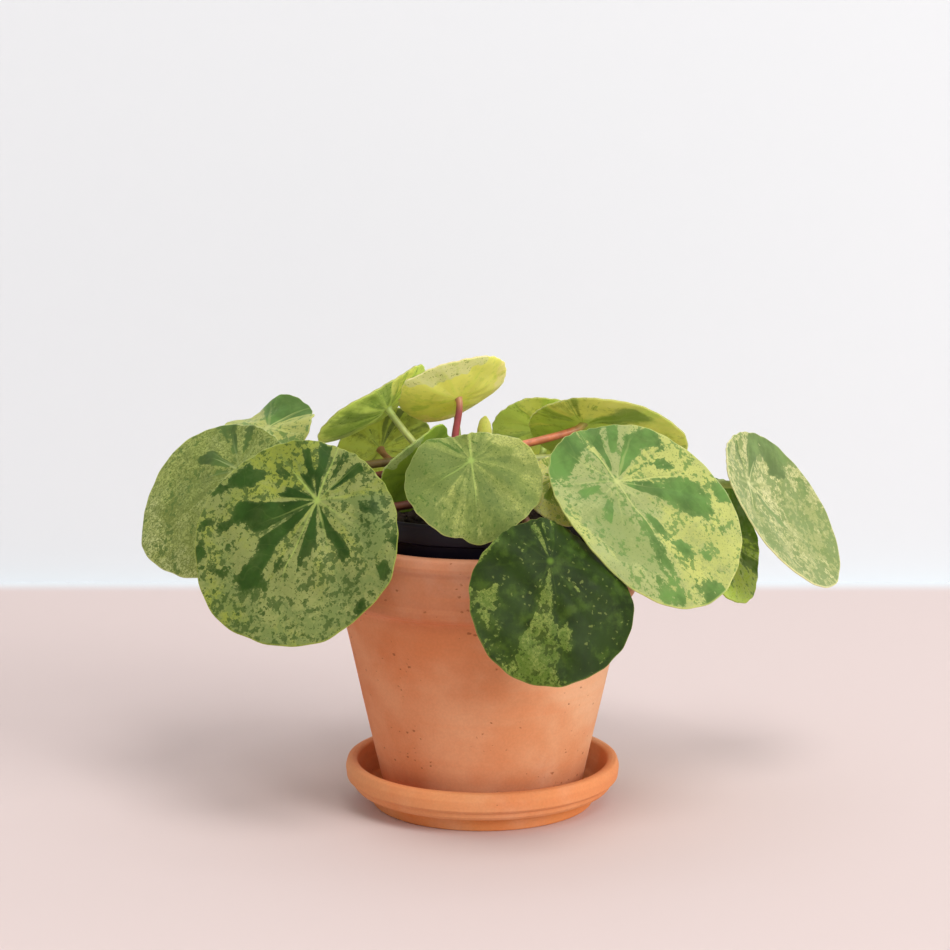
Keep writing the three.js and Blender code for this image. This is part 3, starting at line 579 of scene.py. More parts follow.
def finish_group(tree, **results):
    """Gives a node group its outputs, all of them plain numbers."""
    group = tree.tree
    for key in results:
        group.interface.new_socket(name=key, in_out="OUTPUT", socket_type="NodeSocketFloat")
    output = group.nodes.new("NodeGroupOutput")
    for key, value in results.items():
        tree.plug(output.inputs[key], value)
    return group


def new_material(name, **constants):
    """A material with a Principled BSDF. Constants are set on the shader's own sockets."""
    material = bpy.data.materials.new(name)
    material.use_nodes = True
    shader = next(node for node in material.node_tree.nodes if node.type == "BSDF_PRINCIPLED")
    for key, value in constants.items():
        shader.inputs[key.replace("_", " ")].default_value = value
    return material, Tree(material.node_tree), shader


def bump(tree, shader, height, strength, distance):
    normal = tree.value("Bump", {"Height": height, "Strength": strength, "Distance": distance * MM})
    tree.plug(shader.inputs["Normal"], normal)


def scaled(colour, share):
    return tuple(share * part for part in colour)


ZERO = (0.0, 0.0, 0.0)  # what a group's vector input holds until it is plugged

# A blade's own coordinates are its "leaf" attribute: towards the tip and across, in units of 50 mm, and the leaf's own
# number. The veins' directions wander by the same two waves in the mesh and in the material.
LEAF_UNIT = 50
WANDER = ((2, 0.13, 1.0), (3, 0.07, 2.3))


def wandering(angle, seed):
    return angle + sum(size * np.sin(count * angle + turn * seed) for count, size, turn in WANDER)


@functools.cache
def vein_group():
    """Main veins out of the hub and their side veins, as masks, and the height of the relief."""
    tree, leaf, count, width = new_group("leaf_veins", Leaf=ZERO, Count=9.0, Width=0.012)
    u, v, seed = tree.split(leaf)
    angle = tree.math("ARCTAN2", v, u)
    out = tree.length(u, v)
    wandered = angle
    for waves, size, turn in WANDER:
        wandered += tree.math("SINE", angle * waves + seed * turn) * size
    plane = tree.join(u, v, seed)
    jitter = tree.noise(plane, 3.0, 2) - 0.5
    spacing = 2 * math.pi / count
    whole_turns = 40 * math.pi  # keeps the angle above 0
    between = tree.math("PINGPONG", jitter * 0.22 + wandered + whole_turns, spacing * 0.5)
    away = between * out
    slim = tree.math("MAXIMUM", width * (1.25 - out), 0.003)
    main = 1 - tree.step(away / slim, 0.35, 1.1)
    fading = 1 - tree.step(out + jitter * 0.9, 0.02, 0.62)
    # Side veins leave each main vein slanting outwards.
    slant = out - away * 0.85
    side_away = tree.math("PINGPONG", jitter * 0.35 + slant + 4.0, 0.085)
    side = 1 - tree.step(side_away, 0.002, 0.009)
    far = tree.step(out, 0.12, 0.4)
    cells = tree.value("TexVoronoi", {"Vector": plane, "Scale": 16.0}, "Distance", feature="DISTANCE_TO_EDGE")
    net = 1 - tree.step(cells, 0.02, 0.12)
    swell = tree.step(away, 0.0, 0.09) + tree.step(side_away, 0.0, 0.05) * 0.45 * far
    return finish_group(tree, Main=main * fading, Side=side * far, Height=swell - net * 0.12)


@functools.cache
def patch_group():
    """Ragged patches from the strokes painted on a blade: along the veins near the hub, blotchy near the rim."""
    tree, leaf, painting, offset, ragged, fine, edge, scale, streaks = new_group(
        "leaf_patches", Leaf=ZERO, Painted=0.5, Offset=0.0, Ragged=1.5, Fine=0.6, Edge=0.04, Scale=3.0, Streaks=1.1)
    u, v, seed = tree.split(leaf)
    out = tree.length(u, v)
    away = tree.math("MAXIMUM", out, 0.001)
    layer = seed + offset
    plane = tree.join(u, v, layer)
    rays = tree.noise(tree.join(u / away * 1.5, v / away * 1.5, out * 0.45 + layer), 2.6, 5, 0.62)
    blotches = tree.noise(plane, scale, 5, 0.68)
    grain = tree.noise(plane, scale * 5.0, 3, 0.6)
    near = 1 - tree.step(out, 0.3, streaks)
    chosen = tree.value("Mix", {0: near, 2: blotches, 3: rays}, data_type="FLOAT")
    field = (chosen - 0.5) * ragged + painting + (grain - 0.5) * fine
    return finish_group(tree, Mask=tree.step(field, 0.5 - edge, edge + 0.5), Field=field)


@functools.cache
def speck_group():
    """Small scattered specks: a share of the cells holds one."""
    tree, leaf, scale, share, size = new_group("leaf_specks", Leaf=ZERO, Scale=20.0, Share=0.4, Size=0.25)
    cells = tree.values("TexVoronoi", {"Vector": leaf, "Scale": scale}, feature="F1")
    random_parts = tree.values("SeparateColor", {"Color": cells["Color"]})
    radius = size * (random_parts["Green"] + 0.4)
    spot = 1 - tree.step(cells["Distance"] / radius, 0.6, 1.1)
    return finish_group(tree, Mask=spot * tree.math("LESS_THAN", random_parts["Red"], share))


RIBS = ("rib_1", "rib_2", "rib_3")
USUAL_RIBS = ((0, 0.6), (75, 0.4), (-75, 0.4))


@functools.cache
def rib_group():
    """One long pale vein out of the hub, as a mask. Rib is its direction and its reach."""
    tree, leaf, rib = new_group("leaf_rib", Leaf=ZERO, Rib=(1.0, 0.0, 1.0))
    u, v, _ = tree.split(leaf)
    cosine, sine, reach = tree.split(rib)
    along = u * cosine + v * sine
    across = v * cosine - u * sine
    bend = (tree.noise(leaf, 2.2, 1) - 0.5) * 0.16
    away = tree.math("ABSOLUTE", bend * along + across)
    gone = along / tree.math("MAXIMUM", reach, 0.001)
    width = tree.math("MAXIMUM", gone * -0.008 + 0.012, 0.003)
    line = 1 - tree.step(away / width, 0.4, 1.2)
    return finish_group(tree, Mask=line * tree.step(along, 0.0, 0.02) * (1 - tree.step(gone, 0.6, 1.0)))


@functools.cache
def mark_group():
    """Small irregular blotches in clusters, thin worm-like lines, and fine dots."""
    tree, leaf, reach = new_group("leaf_marks", Leaf=ZERO, Reach=0.5)
    clusters = tree.noise(leaf, 4.4, 3, 0.6)
    field = (clusters - 0.5) * 0.75 + tree.noise(leaf, 19.0, 4, 0.62)
    low = reach * -0.17 + 0.68
    worms = tree.noise(tree.vector("ADD", leaf, (0.0, 0.0, 4.7)), 31.0, 3, 0.6)
    dots = tree.noise(tree.vector("ADD", leaf, (0.0, 0.0, 9.1)), 52.0, 1, 0.5)
    return finish_group(tree, Blotches=tree.step(field, low, low + 0.035),
                        Worms=1 - tree.step(tree.math("ABSOLUTE", worms - 0.5), 0.02, 0.075),
                        Dots=tree.step(dots, 0.64, 0.7))


# Light goes through the thin blades.
BLADE_SHINE = dict(Specular_IOR_Level=0.09, Subsurface_Weight=0.9, Subsurface_Radius=(1.0, 1.0, 0.8),
                   Subsurface_Scale=0.0038)


def patches(tree, leaf, name, **settings):
    """The patches of one of the three colours that are painted on a blade."""
    return tree.group(patch_group(), Leaf=leaf, Painted=tree.attribute(name), **settings)


def upper_material(tone, colours):
    """The upper side of a blade of one tone."""
    marks = MARKS[tone]
    material, tree, shader = new_material(tone + "_upper", **BLADE_SHINE)
    leaf = tree.attribute("leaf", "Vector")
    veins = tree.group(vein_group(), Leaf=leaf)
    small = tree.group(mark_group(), Leaf=leaf, Reach=marks["blotches"])
    dark = patches(tree, leaf, "dark", Fine=marks["fine"], Ragged=1.8, Scale=4.0, Streaks=marks["streaks"])
    grey = patches(tree, leaf, "grey", Offset=7.3, Edge=0.14, Scale=4.5, Fine=0.7)["Mask"]
    warm = patches(tree, leaf, "warm", Offset=3.1, Edge=0.25, Scale=3.2, Fine=0.5)["Mask"]
    # The light ground: its yellow parts, slow shade, grey green parts and small dark marks.
    ground = tree.mix(warm, colours["light"], colours["pale"])
    shade = tree.step(tree.noise(leaf, 2.4, 3), 0.35, 0.65)
    ground = tree.tint(0.8, ground, tree.mix(shade, (0.86, 0.88, 0.86), (1.1, 1.09, 1.08)))
    ground = tree.mix(small["Worms"] * marks["mottle"], ground, colours["grey"])
    ground = tree.mix(grey * 0.8, ground, colours["grey"])
    green = tree.mix(0.8, colours["grey"], colours["dark"])
    ground = tree.mix(small["Blotches"] * 0.85, ground, green)
    ground = tree.mix(small["Dots"] * 0.6, ground, scaled(colours["dark"], 0.7))
    # The deep green: slow shade, grey clouds, a paler margin and pale flecks.
    shade = tree.step(tree.noise(leaf, 3.6, 4, 0.6), 0.35, 0.65)
    deep = tree.mix(shade, scaled(colours["dark"], 1.1), scaled(colours["dark"], 0.68))
    clouds = tree.step(tree.noise(leaf, 6.0, 4, 0.6), 0.48, 0.68)
    deep = tree.mix(clouds * marks["clouds"], deep, colours["grey"])
    margin = 1 - tree.step(dark["Field"], 0.5, 0.78)
    deep = tree.mix(margin * 0.45, deep, tree.mix(0.45, colours["dark"], colours["grey"]))
    bent = tree.vector("MULTIPLY_ADD", tree.noise(leaf, 22.0, 2, kind="Color"), (0.08, 0.08, 0.0), leaf)
    flecks = tree.group(speck_group(), Leaf=bent, Scale=20.0, Share=marks["flecks"], Size=0.2)["Mask"]
    deep = tree.mix(flecks * 0.6, deep, colours["light"])
    colour = tree.mix(dark["Mask"], ground, deep)
    # The pale veins and hub, and a painted highlight along the rim.
    colour = tree.mix(veins["Side"] * (marks["veins"] * 0.1), colour, colours["vein"])
    colour = tree.mix(veins["Main"] * marks["veins"], colour, colours["vein"])
    for name in RIBS:
        rib = tree.group(rib_group(), Leaf=leaf, Rib=tree.attribute(name, "Vector"))["Mask"]
        colour = tree.mix(rib * 0.5, colour, colours["vein"])
    u, v, _ = tree.split(leaf)
    hub = 1 - tree.step(tree.length(u, v), 0.008, 0.045)
    colour = tree.mix(hub * 0.85, colour, colours["vein"])
    # Painted highlight: a thin pale line along the rim, where its edge catches the light.
    rim = tree.step(tree.attribute("share"), 0.985, 1.0)
    colour = tree.mix(rim * 0.7, colour, scaled(colours["pale"], marks["rim"]))
    tree.plug(shader.inputs["Base Color"], colour)
    tree.plug(shader.inputs["Roughness"], tree.spread(tree.noise(leaf, 9.0, 3), 0.36, 0.56))
    bump(tree, shader, veins["Height"], 0.14, 0.35)
    return material


def under_material(tone, colours):
    """The underside of a blade of one tone: paler, with raised veins, and lit through from above."""
    marks = MARKS[tone]
    material, tree, shader = new_material(tone + "_under", Roughness=0.5, **BLADE_SHINE)
    leaf = tree.attribute("leaf", "Vector")
    veins = tree.group(vein_group(), Leaf=leaf, Width=0.024)
    small = tree.group(mark_group(), Leaf=leaf, Reach=marks["blotches"])
    dark = patches(tree, leaf, "dark", Edge=0.22, Fine=marks["fine"])["Mask"]
    warm = patches(tree, leaf, "warm", Offset=3.1, Edge=0.16, Scale=2.6, Fine=0.3)["Mask"]
    grey = patches(tree, leaf, "grey", Offset=7.3, Edge=0.05, Scale=4.5, Fine=0.3)["Mask"]
    colour = tree.mix(warm * 0.75, colours["under"], colours["pale"])
    colour = tree.mix(grey * 0.85, colour, colours["grey"])
    shade = tree.step(tree.noise(leaf, 2.6, 4, 0.6), 0.32, 0.68)
    colour = tree.tint(0.9, colour, tree.mix(shade, (0.84, 0.86, 0.8), (1.1, 1.08, 1.04)))
    colour = tree.mix(dark * 0.62, colour, colours["dark"])
    colour = tree.mix(small["Blotches"] * 0.25, colour, colours["dark"])
    colour = tree.mix(small["Dots"] * (grey * 0.8), colour, scaled(colours["dark"], 0.5))
    colour = tree.mix(veins["Side"] * 0.1, colour, colours["vein"])
    colour = tree.mix(veins["Main"] * (marks["veins"] * 1.3), colour, colours["vein"])
    rim = tree.step(tree.attribute("share"), 0.98, 1.0)
    colour = tree.mix(rim * 0.3, colour, colours["under"])
    tree.plug(shader.inputs["Base Color"], colour)
    bump(tree, shader, veins["Height"] * -1.0, 0.3, 0.35)
    return material


@functools.cache
def clay_group():
    """Fired clay: slow clouds, turning marks, pits and a chalky bloom, as masks and a height."""
    tree, place, share = new_group("fired_clay", Place=ZERO, Pits=0.5)
    clouds = tree.step(tree.noise(place, 22.0, 4, 0.55), 0.35, 0.68)
    bloom = tree.step(tree.noise(tree.vector("ADD", place, (3.1, 1.7, 0.4)), 14.0, 5, 0.62), 0.5, 0.72)
    rings = tree.noise(tree.vector("MULTIPLY", place, (1.0, 1.0, 14.0)), 16.0, 3, 0.5)
    grain = tree.noise(place, 900.0, 2, 0.5)
    # A share of the cells holds a pit of its own size, and more of them do in clusters.
    ragged = tree.vector("MULTIPLY_ADD", tree.noise(place, 900.0, 2, kind="Color"), (0.0012, 0.0012, 0.0012), place)
    stretched = tree.vector("MULTIPLY", ragged, (1.0, 1.0, 1.5))
    cells = tree.values("TexVoronoi", {"Vector": stretched, "Scale": 300.0}, feature="F1")
    random_parts = tree.values("SeparateColor", {"Color": cells["Color"]})
    clusters = tree.step(tree.noise(place, 38.0, 2), 0.46, 0.68) * 0.34 + 0.016
    there = tree.math("LESS_THAN", random_parts["Red"], share * clusters)
    radius = tree.math("POWER", random_parts["Green"], 3.0) * 0.24 + 0.07
    pits = (1 - tree.step(cells["Distance"] / radius, 0.5, 1.2)) * there
    return finish_group(tree, Clouds=clouds, Bloom=bloom, Pits=pits, Rings=rings, Grain=grain,
                        Height=grain * 0.18 + rings * 0.35 - pits)


def clay_material(name, main, dark, chalk, pits, bloom, sides, foot):
    """Fired clay. Pits and bloom are their amounts, sides is the strength of the painted shade that makes the left side
    darker and redder and the right side lighter, and foot is a stain at the bottom: fully there up to a first height,
    gone from a second one, and its tint."""
    material, tree, shader = new_material(name, Roughness=0.82, Specular_IOR_Level=0.3)
    place = tree.place()
    clay = tree.group(clay_group(), Place=place, Pits=pits)
    colour = tree.mix(clay["Clouds"] * 0.7, main, dark)
    colour = tree.mix(clay["Bloom"] * bloom, colour, chalk)
    x, _, height = tree.split(place)
    # Painted shade and light: the left side is darker and redder and the right side lighter, as the key light from the
    # right falls on it.
    right = tree.step(tree.noise(place, 16.0, 3) * 0.05 + x, -0.03, 0.08)
    colour = tree.tint(sides, colour, tree.mix(right, (0.86, 0.74, 0.68), (0.87, 0.99, 1.07)))
    # Painted shade: darker and redder over the rim band, where the leaves above shade it.
    shaded_rim_band = tree.step(height, 0.090, 0.101)
    colour = tree.tint(shaded_rim_band * 0.8, colour, (0.76, 0.63, 0.61))
    full_to, gone_from, stain = foot
    stained = (1 - tree.step(height, full_to, gone_from)) * tree.step(tree.noise(place, 34.0, 3), 0.3, 0.55)
    colour = tree.tint(stained * 0.8, colour, stain)
    colour = tree.mix(tree.step(clay["Rings"], 0.4, 0.7) * 0.18, colour, dark)
    grain = tree.mix(tree.step(clay["Grain"], 0.3, 0.7), (0.9, 0.9, 0.9), (1.06, 1.06, 1.06))
    colour = tree.tint(0.35, colour, grain)
    colour = tree.mix(clay["Pits"] * 0.75, colour, scaled(dark, 0.42))
    tree.plug(shader.inputs["Base Color"], colour)
    tree.plug(shader.inputs["Roughness"], tree.spread(clay["Clouds"], 0.72, 0.9))
    bump(tree, shader, clay["Height"], 0.5, 0.35)
    return material


# ---- Saucer and pots ------------------------------------------------------------------------------

class PILEA_OT_saucer(bpy.types.Operator):
    """Makes the saucer"""

    bl_idname = "pilea.saucer"
    bl_label = "Saucer"

    def execute(self, context):
        pots = context.scene.pilea_pots
        lip = pots.saucer_radius / MM
        height = pots.saucer_height / MM
        inside = lip - 6
        foot = lip - 12
        profile = rounded([
            (0, 0, 0),
            (foot - 0.6, 0, 0),
            (foot, 0.5, 0.5),
            (foot + 1.5, 6.0, 0.8),
            (foot + 2.2, 6.6, 0.4),
            (lip - 4.6, 7.4, 0.6),
            (lip - 3.4, 8.8, 0.8),
            (lip - 3.0, 10.8, 0.5),
            (lip - 1.6, 11.3, 0.5),
            (lip - 0.5, 12.4, 1.0),
            (lip, 16.8, 2.6),
            (lip - 0.9, height - 0.3, 1.8),
            (lip - 3.0, height, 1.8),
            (inside + 0.7, height - 0.5, 1.8),
            (inside, height - 3.6, 2.0),
            (inside - 1, height - 7, 1.5),
            (inside - 3.6, SAUCER_FLOOR + 2, 3.0),
            (inside - 7.5, SAUCER_FLOOR, 3.0),
            (0, SAUCER_FLOOR, 0),
        ])
        saucer = turned("saucer_clay", spaced(profile, 4), pots.sides)
        uneven(saucer, 0.25, 30)
        places = coordinates(saucer)
        places[:, 2] = np.maximum(places[:, 2], 0)
        move_to(saucer, places)
        clay = clay_material("saucer_clay", tuple(pots.saucer_clay), tuple(pots.clay_dark), tuple(pots.clay_chalk),
                             pits=0.25, bloom=0.25, sides=0.3, foot=(0.005, 0.009, (0.98, 0.84, 0.56)))
        finish_piece(saucer, clay, "saucer")
        return {"FINISHED"}


class PILEA_OT_clay_pot(bpy.types.Operator):
    """Makes the clay pot"""

    bl_idname = "pilea.clay_pot"
    bl_label = "Clay pot"

    def execute(self, context):
        pots = context.scene.pilea_pots
        rim = pots.rim_radius / MM
        mouth = pots.mouth_radius / MM
        base = pots.base_radius / MM
        band = POT_TOP - pots.band_height / MM
        shoulder = rim - 5
        floor = 8.5
        drain = 11
        profile = rounded([
            (drain, POT_BASE + 1.5, 0),
            (base - 10, POT_BASE + 1.5, 0.5),
            (base - 8, POT_BASE, 0.5),
            (base - 1.2, POT_BASE, 0.8),
            (base, POT_BASE + 1.2, 1.0),
            (shoulder - 0.3, band - 2.4, 1.0),
            (shoulder + 0.6, band - 0.7, 0.8),
            (rim - 1.8, band + 0.5, 0.8),
            (rim - 0.9, band + 1.8, 0.8),
            (rim - 0.9, band + 4.2, 0.8),
            (rim - 1.7, band + 6.2, 1.4),
            (rim - 1.2, POT_TOP - 8.2, 2.0),
            (rim - 0.3, POT_TOP - 6.4, 1.0),
            (rim, POT_TOP - 4.4, 1.5),
            (rim - 0.8, POT_TOP - 0.6, 2.2),
            (rim - 3.4, POT_TOP, 2.4),
            (mouth + 1.6, POT_TOP - 0.4, 2.2),
            (mouth, POT_TOP - 3.4, 2.2),
            (base - floor, POT_BASE + floor, 4.0),
            (drain, POT_BASE + floor, 0),
            (drain, POT_BASE + 1.5, 0),
        ])
        pot = turned("clay_pot_body", spaced(profile, 4), pots.sides)
        uneven(pot, 0.5, 38)
        clay = clay_material("pot_clay", tuple(pots.clay), tuple(pots.clay_dark), tuple(pots.clay_chalk),
                             pits=2.4, bloom=0.8, sides=1.0, foot=(0.006, 0.03, (0.8, 0.7, 0.74)))
        finish_piece(pot, clay, "clay_pot")
        return {"FINISHED"}


class PILEA_OT_nursery_pot(bpy.types.Operator):
    """Makes the thin black nursery pot"""

    bl_idname = "pilea.nursery_pot"
    bl_label = "Nursery pot"

    def execute(self, context):
        pots = context.scene.pilea_pots
        rim = pots.nursery_radius / MM
        base = NURSERY_BASE_RADIUS
        wall = 1.2
        profile = rounded([
            (0, NURSERY_BASE, 0),
            (base - 1, NURSERY_BASE, 0.6),
            (base, NURSERY_BASE + 1, 0.6),
            (rim - 3, NURSERY_TOP - 9.8, 0.4),
            (rim - 0.9, NURSERY_TOP - 9.0, 0.5),
            (rim - 0.2, NURSERY_TOP - 4.0, 0.6),
            (rim - 0.15, NURSERY_TOP - 1.6, 0.3),
            (rim, NURSERY_TOP - 1.2, 0.2),
            (rim - 0.2, NURSERY_TOP, 0.5),
            (rim - 1.5, NURSERY_TOP, 0.5),
            (rim - 1.8, NURSERY_TOP - 1.2, 0.5),
            (rim - 3 - wall, NURSERY_TOP - 10, 0.5),
            (base - wall, NURSERY_BASE + wall + 0.8, 0.6),
            (0, NURSERY_BASE + wall + 0.8, 0),
        ], 4)
        pot = turned("nursery_pot_shell", profile, pots.sides)
        material, tree, shader = new_material("nursery_plastic", Specular_IOR_Level=0.3)
        place = tree.place()
        dust = tree.noise(place, 60.0, 5, 0.65)
        plastic = tuple(pots.plastic)
        dusty = tuple(0.75 * c + 0.25 * d for c, d in zip(plastic, pots.soil))
        tree.plug(shader.inputs["Base Color"], tree.mix(tree.step(dust, 0.45, 0.7), plastic, dusty))
        tree.plug(shader.inputs["Roughness"], tree.spread(dust, 0.4, 0.62, 0.35, 0.7))
        bump(tree, shader, tree.noise(tree.vector("MULTIPLY", place, (1, 1, 6)), 300.0, 2), 0.15, 0.1)
        finish_piece(pot, material, "nursery_pot")
        return {"FINISHED"}


# ---- Soil and trunk -------------------------------------------------------------------------------

def soil_height(x, y):
    """The soil's height at a place, mounded at the middle and rippled."""
    mound, roughness, reach = 2.5, 0.7, 60
    out = np.hypot(x, y) / reach
    ripples = np.sin(0.61 * x + 0.23 * y) + np.sin(0.47 * y - 0.35 * x + 1.3) + np.sin(0.9 * x + 0.8 * y + 2)
    return SOIL_TOP + mound * (1 - out * out) + roughness * ripples * (1 - out ** 4)


class PILEA_OT_soil(bpy.types.Operator):
    """Makes the soil with its crumbs"""

    bl_idname = "pilea.soil"
    bl_label = "Soil"

    def execute(self, context):
        bottom = NURSERY_BASE + 2.3
        inset = 1.65  # the pot's wall and the gap
        slope = 14 / 85
        bottom_radius = NURSERY_BASE_RADIUS - inset
        top_radius = bottom_radius + slope * (SOIL_TOP - 3.5 - NURSERY_BASE)
        rings = 40
        profile = [(0, bottom), (bottom_radius, bottom), (top_radius, SOIL_TOP - 2)]
        profile += [(top_radius * i / rings, SOIL_TOP) for i in range(rings - 1, -1, -1)]
        soil = turned("soil_bed", profile, 120)
        places = coordinates(soil) / MM
        top = places[:, 2] > SOIL_TOP - 0.5
        places[top, 2] = soil_height(places[top, 0], places[top, 1])
        move_to(soil, places * MM)
        material, tree, shader = new_material("damp_soil", Roughness=0.95, Specular_IOR_Level=0.25)
        clods = tree.noise(tree.place(), 260.0, 6, 0.7)
        earth = context.scene.pilea_pots.soil
        colour = tree.mix(tree.step(clods, 0.3, 0.7), scaled(earth, 0.35), scaled(earth, 1.7))
        tree.plug(shader.inputs["Base Color"], colour)
        bump(tree, shader, clods, 0.9, 1.6)
        finish_piece(soil, material, "soil", 80)
        self.add_crumbs(material)
        return {"FINISHED"}

    def add_crumbs(self, material):
        """Scatters crumbs on the soil, one mesh in all."""
        rng = random.Random(5)
        tries, reach, clear_of_trunk = 620, 54, 7
        deselect_all()
        bpy.ops.mesh.primitive_ico_sphere_add(subdivisions=1, radius=1)
        crumb = bpy.context.object
        shape = coordinates(crumb)
        faces = [tuple(p.vertices) for p in crumb.data.polygons]
        places, indices = [], []
        for _ in range(tries):
            angle = rng.uniform(0, 2 * math.pi)
            out = reach * math.sqrt(rng.random())
            x, y = out * math.cos(angle), out * math.sin(angle)
            if math.hypot(x - TRUNK_FOOT[0], y - TRUNK_FOOT[1]) < clear_of_trunk:
                continue
            size = rng.uniform(0.5, 1.9)
            stretch = np.array([rng.uniform(0.6, 1.2), rng.uniform(0.6, 1.2), rng.uniform(0.4, 0.8)]) * size
            turn = Matrix.Rotation(rng.uniform(0, 6.3), 3, Vector((rng.random(), rng.random(), 1)).normalized())
            start = len(places) * len(shape)
            uneven_shape = shape * stretch * np.array([[rng.uniform(0.75, 1.2)] for _ in shape])
            places.append(uneven_shape @ np.array(turn).T + [x, y, float(soil_height(x, y)) + size * 0.15])
            indices += [tuple(start + i for i in face) for face in faces]
        mesh = bpy.data.meshes.new("soil_crumbs")
        mesh.from_pydata((np.concatenate(places) * MM).tolist(), [], indices)
        crumbs = bpy.data.objects.new("soil_crumbs", mesh)
        bpy.context.scene.collection.objects.link(crumbs)
        bpy.data.objects.remove(crumb)
        finish_piece(crumbs, material, "soil", 60)


def trunk_at(z):
    """The trunk's middle and radius at a height."""
    t = np.clip((np.asarray(z, float) - TRUNK_BEND) / (TRUNK_TOP[2] - TRUNK_BEND), 0, 1)
    x = TRUNK_FOOT[0] + (TRUNK_TOP[0] - TRUNK_FOOT[0]) * t
    y = TRUNK_FOOT[1] + (TRUNK_TOP[1] - TRUNK_FOOT[1]) * t
    return x, y, TRUNK_RADIUS[0] + (TRUNK_RADIUS[1] - TRUNK_RADIUS[0]) * t * t


class PILEA_OT_trunk(bpy.types.Operator):
    """Makes the short woody trunk"""

    bl_idname = "pilea.trunk"
    bl_label = "Trunk"

    def execute(self, context):
        foot = SOIL_TOP - 23.7
        profile = [(0, foot), (TRUNK_RADIUS[0], foot)]
        heights = np.arange(SOIL_TOP - 6, TRUNK_TOP[2], 0.6)
        for z in heights:
            ring = 0.22 * math.sin(z * 1.9) + 0.16 * math.sin(z * 3.1 + 1)
            profile.append((float(trunk_at(z)[2]) + ring, float(z)))
        top = TRUNK_TOP[2]
        tip_radius = TRUNK_RADIUS[1]
        profile += [(tip_radius * 0.85, top + 0.5), (tip_radius * 0.5, top + 1.2), (0, top + 1.4)]
        trunk = turned("trunk_stem", profile, 40)
        places = coordinates(trunk) / MM
        x, y, _ = trunk_at(places[:, 2])
        knobs = 1 + 0.05 * np.sin(3 * np.arctan2(places[:, 1], places[:, 0]) + places[:, 2] * 0.7)
        places[:, 0] = places[:, 0] * knobs + x
        places[:, 1] = places[:, 1] * knobs + y
        move_to(trunk, places * MM)
        material, tree, shader = new_material("trunk_bark", Roughness=0.85, Specular_IOR_Level=0.3)
        place = tree.place()
        cracks = tree.noise(tree.vector("MULTIPLY", place, (1, 1, 3.5)), 420.0, 5, 0.65)
        bark = tuple(context.scene.pilea_pots.bark)
        colour = tree.mix(tree.step(cracks, 0.35, 0.65), scaled(bark, 0.4), bark)
        young = tree.step(tree.split(place)[2], 0.146, 0.157)
        colour = tree.mix(young * 0.7, colour, srgb(132, 140, 76))
        tree.plug(shader.inputs["Base Color"], colour)
        bump(tree, shader, cracks, 0.7, 0.5)
        finish_piece(trunk, material, "trunk", 70)
        return {"FINISHED"}


# ---- Blades ---------------------------------------------------------------------------------------

def leaf_axes(leaf):
    """The leaf's own axes: towards the tip, across, and out of the upper side."""
    azimuth, elevation = map(math.radians, leaf["faces"])
    out = Vector((math.cos(elevation) * math.cos(azimuth), math.cos(elevation) * math.sin(azimuth),
                  math.sin(elevation)))
    downhill = Vector((math.sin(elevation) * math.cos(azimuth), math.sin(elevation) * math.sin(azimuth),
                       -math.cos(elevation)))
    tip = Matrix.Rotation(math.radians(leaf["turn"]), 3, out) @ downhill
    return tip, out.cross(tip), out


def turned_from(angle, direction):
    """How far each angle is from a direction in degrees, either way round."""
    return (angle - math.radians(direction) + math.pi) % (2 * math.pi) - math.pi


def swellings(leaf, key, angle):
    """The soft swellings that a leaf's trim or curl gives at each angle."""
    return sum(amount * np.exp(-(turned_from(angle, direction) / math.radians(spread)) ** 2)
               for direction, spread, amount in leaf.get(key, ()))


def blade_surface(leaf, share, angle):
    """The blade's middle surface in its own axes, in millimetres."""
    length, width = leaf["size"]
    offset = length * (0.5 - leaf["hub_share"])
    a, b = length / 2, width / 2
    e = offset / a
    c, d = np.cos(angle) / a, np.sin(angle) / b
    big = c * c + d * d
    half = -2 * c * e
    rim = (-half + np.sqrt(half * half - 4 * big * (e * e - 1))) / (2 * big)
    rim = rim + swellings(leaf, "trim", angle)
    seed = int(leaf["id"])
    rim = rim - 0.35 - 0.3 * np.sin(13 * angle + seed) * np.sin(5 * angle + 2 * seed) - 0.18 * np.sin(29 * angle + seed)
    u = share * rim * np.cos(angle)
    v = share * rim * np.sin(angle)
    out2 = ((u - offset) / a) ** 2 + (v / b) ** 2
    height, count, phase = leaf["wave"]
    tip_share = np.maximum(0, u / (length * (1 - leaf["hub_share"])))
    w = (-leaf["dome"] * (out2 - e * e) - leaf["droop"] * tip_share ** 2
         + height * share ** 3 * np.sin(count * angle + phase) + share ** 2.5 * swellings(leaf, "curl", angle))
    ripple = (np.sin(0.23 * u + 0.09 * v + seed) + np.sin(0.21 * v - 0.12 * u + 2.3 * seed)
              + np.sin(0.33 * u - 0.29 * v + 4.1 * seed))
    w = w + 0.3 * ripple * np.clip(share * 3, 0, 1) * (1 - share ** 4)
    return u, v, w


def painted(share, angle, amount, strokes):
    """The amount of a colour over the blade, from its strokes."""
    soft_end = 0.12
    field = np.full_like(share, amount)
    for direction, spread, start, stop, strength in strokes:
        across = 1 / (1 + (turned_from(angle, direction) / math.radians(spread)) ** 4)
        inner = np.clip((share - start) / soft_end + 0.5, 0, 1)
        outer = np.clip((stop - share) / soft_end + 0.5, 0, 1)
        field += strength * across * inner * outer
    return field


def own_arms(leaf):
    """Strokes for a leaf that has none listed: green arms out of the hub and patches near the rim."""
    rng = random.Random(leaf["id"])
    first = rng.uniform(0, 360)
    arms = 8
    strokes = []
    for arm in range(arms):
        direction = first + 360 / arms * arm + rng.uniform(-12, 12)
        start = rng.choice((0.05, 0.05, 0.3, 0.6))
        strokes.append((direction, rng.uniform(4, 11), start, start + rng.uniform(0.25, 0.6), rng.uniform(0.45, 0.75)))
    return strokes


